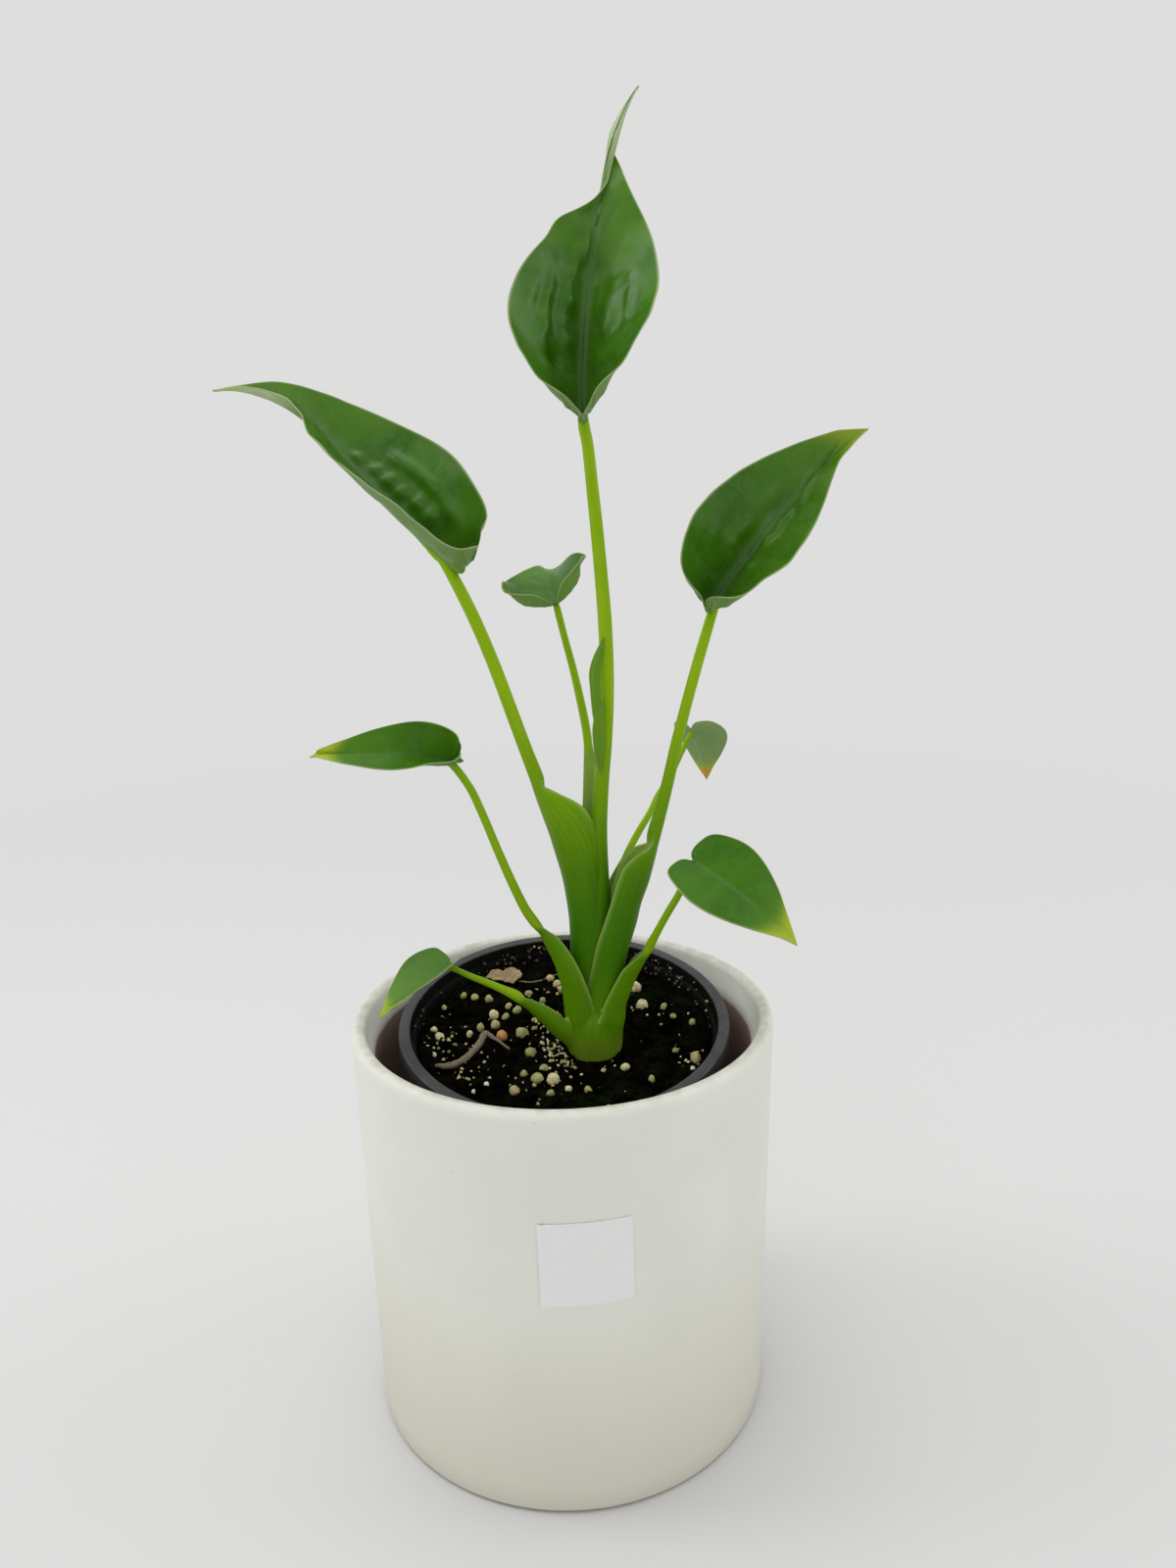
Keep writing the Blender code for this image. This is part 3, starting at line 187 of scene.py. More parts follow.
# Leafstalks: heading of the back, then sections from the crown upwards.
# Round: x, y, z, radius. Sheath: x, y, z, wrap radius, back wall, margin wall, half angle.
STALKS = {
    "a": (0.0,
          (10.6, -0.6, 116.0, 5.2), (10.9, 0.0, 140.0, 5.0), (11.2, 0.1, 158.0, 4.2),
          (11.6, 0.6, 172.0, 3.2), (12.2, 1.2, 184.0, 2.5), (13.3, 2.0, 197.0, 2.2),
          (14.6, 2.6, 210.0, 2.1), (15.5, 3.5, 225.0, 2.0), (15.3, 4.5, 241.8, 2.0),
          (14.5, 5.0, 255.6, 1.88), (13.5, 5.5, 269.0, 1.82), (12.5, 5.9, 280.5, 1.72),
          (11.5, 6.0, 291.5, 1.62)),
    "b": (202.0,
          (4.4, -1.0, 116.0, 6.6, 2.4, 1.2, 165.0), (4.4, -0.5, 130.0, 6.6, 2.4, 1.2, 165.0),
          (4.4, 0.0, 145.0, 6.6, 2.4, 1.1, 160.0), (4.3, 0.0, 154.5, 6.4, 2.4, 1.0, 155.0),
          (3.4, 0.0, 163.3, 6.4, 2.5, 1.0, 150.0), (2.3, 0.0, 170.0, 6.7, 2.6, 0.9, 148.0),
          (0.8, 0.0, 176.2, 7.1, 2.8, 0.9, 146.0), (-0.7, -0.2, 182.3, 7.0, 3.0, 0.9, 140.0),
          (-2.5, -0.5, 188.3, 6.6, 3.2, 0.9, 125.0), (-4.0, -0.8, 193.3, 5.2, 3.4, 1.0, 102.0),
          (-4.9, -1.1, 196.6, 3.4, 3.6, 1.4, 78.0),
          (-5.5, -1.5, 199.6, 2.05), (-8.4, -2.0, 208.3, 1.92), (-12.1, -3.0, 220.0, 1.86),
          (-16.2, -3.5, 232.7, 1.8), (-20.3, -4.0, 243.9, 1.74), (-24.4, -4.0, 253.4, 1.68)),
    "c": (0.0,
          (15.6, -2.0, 116.0, 6.2, 2.4, 1.2, 165.0), (16.6, -2.2, 128.0, 6.0, 2.4, 1.2, 160.0),
          (17.9, -2.6, 141.4, 5.4, 2.5, 1.1, 150.0), (19.2, -2.8, 147.5, 5.3, 2.5, 1.0, 150.0),
          (21.5, -3.0, 155.4, 5.3, 2.6, 1.0, 145.0), (22.9, -3.0, 161.5, 5.2, 2.7, 1.0, 140.0),
          (25.0, -3.0, 167.6, 5.4, 2.8, 0.9, 138.0), (26.2, -3.0, 172.1, 5.3, 2.9, 0.9, 130.0),
          (27.1, -3.0, 176.0, 4.6, 3.1, 0.9, 112.0), (27.6, -3.0, 178.8, 3.2, 3.4, 1.3, 80.0),
          (28.2, -3.0, 182.4, 2.05), (30.3, -2.5, 189.7, 1.85), (32.5, -2.0, 198.3, 1.75),
          (35.2, -1.0, 209.6, 1.65), (38.2, 0.0, 220.7, 1.58), (41.0, 1.0, 230.4, 1.56),
          (43.3, 1.6, 238.0, 1.52)),
    "d": (90.0,
          (9.6, 5.5, 116.0, 6.2, 2.4, 1.2, 140.0), (9.8, 5.8, 135.0, 6.0, 2.4, 1.2, 130.0),
          (10.0, 6.4, 150.0, 5.6, 2.4, 1.1, 115.0), (10.3, 7.0, 165.0, 4.7, 2.2, 1.0, 105.0),
          (10.4, 7.9, 178.0, 3.5, 2.2, 1.0, 95.0), (10.4, 9.2, 190.0, 2.6, 2.0, 1.0, 88.0),
          (10.3, 10.8, 199.0, 2.0, 1.9, 1.0, 82.0), (9.9, 13.0, 206.0, 1.3),
          (9.3, 14.9, 211.5, 1.28), (7.6, 17.5, 220.7, 1.2),
          (5.8, 19.5, 229.0, 1.12), (3.8, 21.0, 237.1, 1.05)),
    "e": (200.0,
          (3.3, -4.2, 114.0, 6.0, 2.0, 1.2, 135.0), (2.0, -4.8, 124.0, 5.6, 2.0, 1.1, 124.0),
          (1.2, -4.6, 134.0, 5.0, 2.0, 1.0, 108.0), (-0.8, -4.6, 142.6, 4.6, 2.0, 0.9, 98.0),
          (-3.9, -4.4, 150.0, 3.9, 2.0, 0.9, 92.0), (-5.3, -4.4, 153.3, 2.8, 2.1, 1.1, 82.0),
          (-7.6, -4.4, 156.6, 1.45), (-10.5, -4.6, 161.6, 1.38), (-14.1, -5.0, 170.4, 1.3),
          (-17.5, -5.5, 179.7, 1.22), (-20.3, -6.0, 187.9, 1.18), (-23.4, -6.0, 196.1, 1.16),
          (-25.6, -6.0, 200.4, 1.12)),
    "f": (60.0,
          (12.6, 4.0, 116.0, 5.8, 2.2, 1.2, 130.0), (14.0, 5.2, 138.0, 5.2, 2.2, 1.1, 120.0),
          (16.0, 6.8, 152.0, 4.2, 2.0, 1.0, 100.0), (18.2, 8.2, 163.0, 2.9, 1.9, 1.0, 85.0),
          (20.8, 9.9, 171.5, 1.2), (24.6, 14.0, 177.3, 1.08), (28.7, 17.5, 182.8, 1.0),
          (31.4, 20.5, 187.2, 0.95), (35.5, 24.0, 192.4, 0.9), (39.6, 27.6, 199.2, 0.8)),
    "g": (-20.0,
          (15.7, -4.5, 114.0, 6.0, 2.0, 1.2, 120.0), (17.5, -5.4, 124.0, 5.6, 2.0, 1.1, 100.0),
          (18.1, -5.6, 130.0, 5.1, 2.0, 1.0, 95.0), (20.9, -6.1, 137.8, 4.3, 2.0, 0.9, 95.0),
          (22.4, -6.4, 141.2, 3.9, 2.0, 0.9, 95.0), (24.0, -6.8, 144.4, 3.0, 2.0, 1.0, 90.0),
          (26.0, -8.0, 149.0, 1.35), (28.2, -9.6, 154.2, 1.12), (31.1, -11.4, 160.6, 1.08),
          (33.7, -12.6, 165.7, 1.05), (36.0, -13.2, 170.4, 1.0)),
    "h": (215.0,
          (3.0, -4.0, 115.0, 5.0, 2.0, 1.2, 110.0), (-1.2, -5.0, 119.8, 4.7, 2.2, 1.0, 104.0),
          (-4.5, -5.2, 123.8, 4.1, 2.1, 0.9, 104.0), (-7.5, -5.2, 127.2, 3.4, 2.0, 0.9, 102.0),
          (-10.5, -4.8, 130.0, 2.7, 1.9, 0.9, 92.0), (-13.5, -4.0, 132.8, 1.6),
          (-17.9, -2.5, 134.6, 1.25), (-22.6, -1.0, 136.3, 1.05), (-27.5, 0.5, 137.9, 0.95),
          (-30.7, 1.4, 139.2, 0.85)),
}
# Stalks whose back starts in another direction than a level one.
SHEATH_BACK_DOWN = {"h": (-0.35, -0.45, -0.85)}
OUTER_POINTS = 29
INNER_POINTS = 21
STALK_STEPS = 7                 # finer rows between two given sections
MIDRIB_ROWS = 5
STALK_FROM = (126.5, 13.4)      # a stalk's own piece starts this high or this far from the crown
FOOT_TO = (131.0, 17.0)         # its foot in the bulb ends this high or this far out
STEM_FACTS = ("up", "margin", "inner", "around", "along", "seed")
MARGIN_WIDTH = 0.035            # of the pale margins, as part of the way round
FOOT_TONE = 0.24                # how bright the crown and the stalks' feet are
BULB_GRID = 0.45
BULB_SOFT = 160                 # steps of smoothing, which fades out between two heights
BULB_FADE_Z = (120.0, 126.0)
BULB_FADE_R = (10.5, 13.5)      # and between two distances from the crown's axis
BULB_WAIST = 0.07               # how much the foot of the bulb draws in at the soil
BULB_WAIST_Z = (112.0, 122.5)

# Blades, with the same named sizes as the solid parts. pucker is how high the blade rises
# between its veins. tip is where its colour begins along the midrib, and how strong it is.
BLADES = {
    "a": dict(foot=(10.3, 5.9, 298.9), heading=90, rise=60.5, roll=-2.2,
              length=98.5, half_width=28.8, bend=(15.6, 36.2), sway=(-10.4, 8.3), twist=3.8,
              tip_twist=(152.4, 0.57, 0.19), fold=(44.4, 20.4, 30.8), curl=(10.6, 3.2),
              lobe=(0.139, 50.8), widest=0.189, shoulder=(0.679, 0.124), waist=0.689,
              uneven=(0.058, 0.021, 0.014, 3), pucker=1.1, tip=(0.0, 0.0), big=True),
    "b": dict(foot=(-24.6, -4, 259.9), heading=158.8, rise=37.3, roll=-22.7,
              length=89.1, half_width=22.2, bend=(7.1, -56.3), sway=(-4.7, 29.8), twist=11.5,
              tip_twist=(25.1, 0.57, 0.31), fold=(33.5, 28.5, 42.9), curl=(27, 14.7),
              lobe=(0.128, 63.5), widest=0.252, shoulder=(0.774, 0.109), waist=0.736,
              uneven=(0.027, 0.002, -0.07, 15.5), pucker=0.9, tip=(0.85, 0.3), big=True),
    "c": dict(foot=(44.7, 2, 246.7), heading=30.6, rise=48.2, roll=44.2,
              length=68.5, half_width=24.1, bend=(13.3, -21.6), sway=(-10.1, -11.6), twist=-3.8,
              tip_twist=(-5.2, 0.64, 0.28), fold=(38.8, 24.3, 30.5), curl=(17.5, 13.2),
              lobe=(0.144, 63.7), widest=0.194, shoulder=(0.813, 0.186), waist=0.633,
              uneven=(-0.039, 0.004, -0.044, -1.6), pucker=0.6, tip=(0.7, 0.42), big=True),
    "d": dict(foot=(1.3, 22, 247.2), heading=101.5, rise=27.2, roll=-26.9,
              length=24, half_width=16.5, bend=(-11.1, -18.4), sway=(-7.6, -2.8), twist=0.2,
              tip_twist=(-10.7, 0.6, 0.3), fold=(18.6, 29.8, 30.1), curl=(4.2, 16.3),
              lobe=(0.182, 18), widest=0.137, shoulder=(0.862, 0.179), waist=0.677,
              uneven=(-0.076, -0.068, 0.012, -1.8), pucker=0.2, tip=(0.0, 0.0), big=False),
    "e": dict(foot=(-29.2, -6, 206.6), heading=178.7, rise=12, roll=-38.7,
              length=42.6, half_width=10.5, bend=(-15.1, -19.6), sway=(1, -5.5), twist=-1.1,
              tip_twist=(9.1, 0.55, 0.3), fold=(29.5, 11.3, 16.3), curl=(35.3, 3.4),
              lobe=(0.139, 52.2), widest=0.162, shoulder=(0.907, 0.152), waist=0.606,
              uneven=(-0.016, -0.008, 0.035, 13.2), pucker=0.15, tip=(0.6, 0.9), big=False),
    "f": dict(foot=(43, 30, 205.3), heading=35.2, rise=-49.4, roll=-11.3,
              length=18.2, half_width=10.4, bend=(-23, -11.3), sway=(4.6, 4.5), twist=-2,
              tip_twist=(1.5, 0.6, 0.3), fold=(10.1, 15.1, 11), curl=(5.7, -4.4),
              lobe=(0.15, 16.9), widest=0.216, shoulder=(0.808, 0.263), waist=0.649,
              uneven=(-0.035, -0.012, 0, -0.3), pucker=0.12, tip=(0.4, 2.0), big=False),
    "g": dict(foot=(38.7, -14.0, 176.7), heading=-36, rise=-20, roll=14, length=37.0,
              half_width=16.0, bend=(-12, -13), sway=(-2, 3), twist=1, tip_twist=(0, 0.6, 0.3),
              fold=(7, 2, 6), curl=(5, -4), lobe=(0.09, 10), widest=0.23,
              shoulder=(0.85, 0.22), waist=0.71, uneven=(-0.01, 0.01, -0.01, 0),
              pucker=0.2, tip=(0.56, 0.75), big=False),
    "h": dict(foot=(-34, 2, 141.3), heading=228.9, rise=-11.9, roll=-2.4,
              length=28.6, half_width=10, bend=(-2, -7.7), sway=(-1.5, -3.4), twist=7.2,
              tip_twist=(-2.2, 0.58, 0.3), fold=(29, 22.2, 25.4), curl=(4.1, 6.8),
              lobe=(0.078, 2.6), widest=0.275, shoulder=(0.858, 0.247), waist=0.673,
              uneven=(-0.005, -0.012, 0.002, -5.6), pucker=0.12, tip=(0.62, 0.7), big=False),
}
for KEY, LEAF in BLADES.items():
    LEAF["key"] = KEY
# Bulges: side (right is 1), place along the midrib, place across, both their sizes, height.
BULGES = {
    "a": ((-1, 0.24, 0.56, 0.10, 0.06, 1.6), (-1, 0.32, 0.27, 0.03, 0.10, 1.6),
          (-1, 0.26, 0.32, 0.028, 0.10, 1.6), (-1, 0.20, 0.27, 0.025, 0.10, 1.5),
          (-1, 0.14, 0.36, 0.035, 0.12, -1.9), (-1, 0.43, 0.30, 0.06, 0.11, 1.5),
          (-1, 0.49, 0.16, 0.03, 0.08, 1.1), (-1, 0.29, 0.76, 0.07, 0.10, 0.8),
          (-1, 0.16, 0.64, 0.04, 0.08, 0.8), (1, 0.28, 0.40, 0.065, 0.15, 2.0),
          (1, 0.225, 0.38, 0.018, 0.08, 1.2), (1, 0.30, 0.64, 0.08, 0.045, 0.9),
          (1, 0.38, 0.50, 0.04, 0.20, 0.7), (1, 0.13, 0.30, 0.03, 0.10, 0.7)),
    "b": ((1, 0.48, 0.22, 0.024, 0.09, 1.2), (1, 0.42, 0.24, 0.02, 0.10, 1.5),
          (1, 0.36, 0.25, 0.02, 0.10, 1.6), (1, 0.30, 0.24, 0.02, 0.10, 1.5),
          (1, 0.24, 0.26, 0.02, 0.10, 1.6), (1, 0.17, 0.28, 0.024, 0.12, 1.5),
          (1, 0.30, 0.56, 0.12, 0.09, 1.4), (1, 0.12, 0.50, 0.05, 0.10, 1.1),
          (-1, 0.35, 0.40, 0.10, 0.15, 0.9)),
    "c": ((-1, 0.33, 0.32, 0.045, 0.11, 1.6), (-1, 0.27, 0.28, 0.02, 0.07, 0.9),
          (-1, 0.55, 0.35, 0.08, 0.16, 0.8), (1, 0.44, 0.24, 0.07, 0.07, 1.6),
          (1, 0.36, 0.20, 0.025, 0.06, 1.1), (1, 0.22, 0.24, 0.03, 0.07, 1.2),
          (1, 0.62, 0.30, 0.05, 0.12, 0.7)),
}
# Edges that roll up: side, end of the roll along the midrib, start across, height.
ROLLS = {
    "a": ((1, 0.22, 0.45, 0.9), (-1, 0.1, 0.45, 1)), "b": ((-1, 0.5, 0.45, 1.4),),
    "c": ((1, 0.3, 0.6, 1.6),), "d": ((1, 0.18, 0.66, 4.3), (-1, 0.36, 0.63, 4.2)),
    "e": ((-1, 0.24, 0.5, 1.1),), "f": ((1, 0.3, 0.6, 0.6),),
}
# Blades held a little way in from the foot: where along the midrib the stalk arrives.
HELD_FROM = {"b": 0.06, "c": 0.06}
# Blades whose two lobes are joined behind the stalk: reach of the join as part of the lobe.
HEEL = {"a": 0.4, "b": 0.57, "c": 0.55, "e": 0.46}
# Swelling of one edge: side, place along the midrib, length and height as parts of the blade.
HUMP = {"a": (-1, 0.554, 0.052, 0.121)}
# Blades painted paler and greyer than the others, as painted sheen and light on them; and those whose
# underside pales towards the tip.
PAINTED_LEAF_LIGHT = {"f": 0.9, "h": 0.16, "d": 0.1}
PALE_BACK_TIP = {"a": 0.7, "b": 0.7}
BLADE_T = 0.5
BLADE_T_EDGE = 0.32
SPINE_STEPS = 112
ROOT_START = 0.36
BIG_GRID = (150, 34)
SMALL_GRID = (90, 20)
VEIN_ROOTS = (0.05, 0.15, 0.27, 0.41, 0.57, 0.76)
LOBE_VEINS = (0.0, 0.13, 0.24, 0.32)

# New leaf, still rolled, and the thin sheath below it: x, y, z and half width.
NEW_LEAF = (
    (12.7, -0.2, 210.5, 0.15), (12.5, -0.4, 213.5, 0.9), (12.4, -0.5, 217.0, 1.35),
    (12.2, -0.3, 220.5, 1.5), (12.0, 0.2, 225.6, 1.6), (12.0, 0.7, 229.4, 1.7),
    (12.7, 1.1, 233.0, 1.4), (13.8, 1.4, 236.4, 0.85), (14.7, 1.5, 239.4, 0.2),
)
NEW_SHEATH = (
    (12.9, -0.9, 200.5, 0.15), (12.6, -1.0, 203.5, 0.9), (12.5, -1.2, 208.0, 1.45),
    (12.4, -1.3, 213.0, 1.6), (12.7, -1.2, 216.5, 1.35), (13.4, -0.9, 219.3, 0.8),
    (14.0, -0.6, 221.6, 0.15),
)
NEW_LEAF_DEPTH = 0.5            # thickness as part of the width
ROLLED_ROWS = 60
ROLLED_AROUND = 40
STRAND_AROUND = 18


class Paint:
    """Builds one procedural material around a Principled shader."""

    def __init__(self, name):
        self.mat = bpy.data.materials.new(name)
        self.mat.use_nodes = True
        self.tree = self.mat.node_tree
        self.shader = self.tree.nodes["Principled BSDF"]
        self.coord = self.add("TexCoord").outputs["Object"]

    def put(self, socket, value):
        if isinstance(value, bpy.types.NodeSocket):
            self.tree.links.new(value, socket)
        elif isinstance(value, (tuple, list)) and len(value) == 3 and socket.type == "RGBA":
            socket.default_value = (*value, 1.0)
        else:
            socket.default_value = value

    def add(self, kind, values=(), **settings):
        """New node with its settings, and the values or links of its sockets by number or name."""
        node = self.tree.nodes.new("ShaderNode" + kind)
        for name, value in settings.items():
            setattr(node, name, value)
        for socket, value in dict(values).items():
            self.put(node.inputs[socket], value)
        return node

    def set(self, **values):
        """Sets sockets of the shader, named with _ in place of spaces."""
        for name, value in values.items():
            self.put(self.shader.inputs[name.replace("_", " ")], value)

    def attribute(self, name):
        return self.add("Attribute", attribute_name=name).outputs["Fac"]

    def math(self, kind, a, b):
        return self.add("Math", {0: a, 1: b}, operation=kind).outputs[0]

    def times(self, a, b):
        return self.math("MULTIPLY", a, b)

    def fit(self, value, low, high, to_low=0.0, to_high=1.0):
        """Smooth ramp from to_low at low to to_high at high."""
        values = dict(enumerate((value, low, high, to_low, to_high)))
        return self.add("MapRange", values, interpolation_type="SMOOTHSTEP").outputs[0]

    def mix(self, part, a, b):
        return self.add("Mix", {0: part, 6: a, 7: b}, data_type="RGBA").outputs[2]

    def ramp(self, value, low, high, a, b):
        """Colour a up to low, colour b from high on."""
        return self.mix(self.fit(value, low, high), a, b)

    def over(self, base, colour, part, strength):
        """Base with a colour laid over it, by part times strength."""
        return self.mix(self.times(part, strength), base, colour)

    def noise(self, scale, detail=3.0, rough=0.55, vector=None):
        values = {"Scale": scale, "Detail": detail, "Roughness": rough, "Vector": vector or self.coord}
        return self.add("TexNoise", values).outputs["Fac"]

    def drawn_out(self, detail, rough, x, y, z=0.0):
        """Noise whose grain follows the given coordinates."""
        vector = self.add("CombineXYZ", {0: x, 1: y, 2: z}).outputs[0]
        return self.noise(1.0, detail, rough, vector)

    def grain(self, detail, rough, around, along, seed=0.0):
        """Noise drawn out along a stalk, a leaf's veins or a twig."""
        return self.drawn_out(detail, rough, self.times(self.attribute("around"), around),
                              self.times(self.attribute("along"), along), seed)

    def specks(self, scale, small, large):
        """Round specks, each full inside small and gone outside large."""
        cells = self.add("TexVoronoi", {"Scale": scale, "Vector": self.coord}).outputs["Distance"]
        return self.fit(cells, small, large, 1.0, 0.0)

    def height(self):
        return self.add("SeparateXYZ", {0: self.coord}).outputs[2]

    def rough_height(self, scale, by):
        """Height with an uneven edge, for borders that aren't quite level."""
        return self.math("ADD", self.height(), self.times(self.noise(scale, 2.0), by))

    def bump(self, value, depth_mm, strength, under=None):
        values = {"Strength": strength, "Distance": depth_mm * MM, "Height": value}
        if under is not None:
            values["Normal"] = under
        node = self.add("Bump", values)
        self.set(Normal=node.outputs[0])
        return node.outputs[0]


def paint_glaze():
    """Satin white glaze over dark clay: bare inside below the lip and on the foot."""
    p = Paint("glaze")
    base = p.ramp(p.noise(26.0, 4.0), 0.35, 0.65, (0.755, 0.76, 0.69), (0.79, 0.795, 0.725))
    # Painted shade: the glaze is painted darker and warmer towards the bottom, for the shade low on the
    # pot and the floor's warm light reflected onto it.
    base = p.mix(p.fit(p.height(), 0.0, 0.085, 1.0, 0.0), base, (0.66, 0.645, 0.55))
    worn = p.fit(p.noise(220.0, 3.0), 0.3, 0.75, 0.45, 1.0)
    base = p.over(base, (0.46, 0.445, 0.365), p.attribute("lip"), worn)
    rare = p.times(p.fit(p.noise(70.0, 1.0), 0.62, 0.68), 0.45)
    base = p.over(base, (0.30, 0.22, 0.15), p.specks(330.0, 0.05, 0.09), rare)
    below = p.fit(p.rough_height(90.0, 0.0012), (GLAZE_END_Z - 0.4) * MM, (GLAZE_END_Z + 1.2) * MM,
                  1.0, 0.0)
    bare = p.times(p.attribute("inside"), below)
    foot = p.fit(p.rough_height(120.0, 0.0006), 0.0009, 0.0016, 1.0, 0.0)
    clay = p.mix(p.noise(900.0, 2.0), (0.30, 0.18, 0.155), (0.40, 0.255, 0.22))
    base = p.mix(bare, base, clay)
    base = p.over(base, (0.34, 0.25, 0.17), foot, 0.75)
    p.set(Base_Color=base, Roughness=p.fit(p.math("MAXIMUM", bare, foot), 0.0, 1.0, 0.44, 0.9))
    small = p.bump(p.noise(2600.0, 2.0), 0.03, 0.35)
    p.bump(p.noise(60.0, 3.0), 0.5, 0.3, small)
    return p.mat


def paint_pot_plastic():
    p = Paint("pot_plastic")
    dust = p.fit(p.noise(420.0, 6.0, 0.7), 0.5, 0.78)
    base = p.mix(p.noise(35.0, 3.0), (0.022, 0.023, 0.024), (0.031, 0.032, 0.033))
    base = p.over(base, (0.2, 0.17, 0.13), dust, 0.28)
    wall = p.attribute("wall")
    # Inner wall by the soil: partly real peat dirt and partly painted shade, near black for the dark
    # inside of the pot.
    dirt_and_shade = p.mix(dust, (0.003, 0.0035, 0.003), (0.016, 0.012, 0.008))
    p.set(Base_Color=p.mix(wall, base, dirt_and_shade), Roughness=p.fit(p.noise(160.0, 4.0), 0.3, 0.7, 0.4, 0.62),
          Specular_IOR_Level=p.fit(wall, 0.0, 1.0, 0.5, 0.04))
    p.bump(p.noise(3000.0, 2.0), 0.02, 0.5)
    return p.mat


def paint_peat():
    p = Paint("peat")
    cloud = p.noise(190.0, 6.0, 0.65)
    base = p.ramp(cloud, 0.38, 0.68, (0.0012, 0.0016, 0.0008), (0.0075, 0.0062, 0.0035))
    base = p.over(base, (0.006, 0.014, 0.003), p.fit(p.noise(60.0, 4.0, 0.6), 0.55, 0.7), 0.4)
    p.set(Base_Color=base, Roughness=1.0, Specular_IOR_Level=0.0)
    p.bump(p.noise(1500.0, 6.0, 0.7), 0.5, 0.9)
    return p.mat


def paint_prill():
    """Tinted by the kind attribute, which holds one of the numbers in PRILL_KINDS; mottled."""
    p = Paint("prill")
    kind = p.attribute("kind")
    base = PRILL_COLOURS[0]
    for number, colour in zip(PRILL_KINDS[1:], PRILL_COLOURS[1:]):
        base = p.mix(p.math("GREATER_THAN", kind, number - 0.05), base, colour)
    base = p.over(base, (0.09, 0.075, 0.03), p.fit(p.noise(900.0, 5.0, 0.7), 0.45, 0.7), 0.55)
    base = p.over(base, (0.2, 0.25, 0.05), p.fit(p.noise(330.0, 3.0), 0.52, 0.7), 0.45)
    p.set(Base_Color=base, Roughness=0.62)
    p.bump(p.noise(2400.0, 4.0), 0.12, 0.7)
    return p.mat


def paint_stalk():
    """Bright green stalks, deeper on the sheaths, paler on margins and at the crown."""
    p = Paint("stalk")
    streak = p.grain(4.0, 0.6, 22.0, 0.05, p.attribute("seed"))
    cloud = p.noise(85.0, 3.0)
    low = p.mix(cloud, (0.038, 0.150, 0.0003), (0.064, 0.205, 0.0006))
    high = p.mix(cloud, (0.25, 0.45, 0.003), (0.34, 0.54, 0.010))
    base = p.mix(p.attribute("up"), low, high)
    base = p.mix(p.fit(streak, 0.4, 0.62, 0.0, 0.32), base, (0.035, 0.13, 0.001))
    base = p.over(base, (0.36, 0.50, 0.12), p.attribute("margin"), 0.6)
    base = p.over(base, (0.33, 0.46, 0.10), p.attribute("inner"), 0.7)
    base = p.over(base, (0.17, 0.22, 0.02), p.fit(p.height(), 0.1165, 0.124, 1.0, 0.0), 0.55)
    base = p.over(base, (0.4, 0.5, 0.2), p.specks(1500.0, 0.1, 0.2), 0.05)
    p.set(Base_Color=base, Roughness=p.fit(cloud, 0.3, 0.7, 0.34, 0.46), Specular_IOR_Level=0.08)
    p.bump(streak, 0.07, 0.6)
    return p.mat


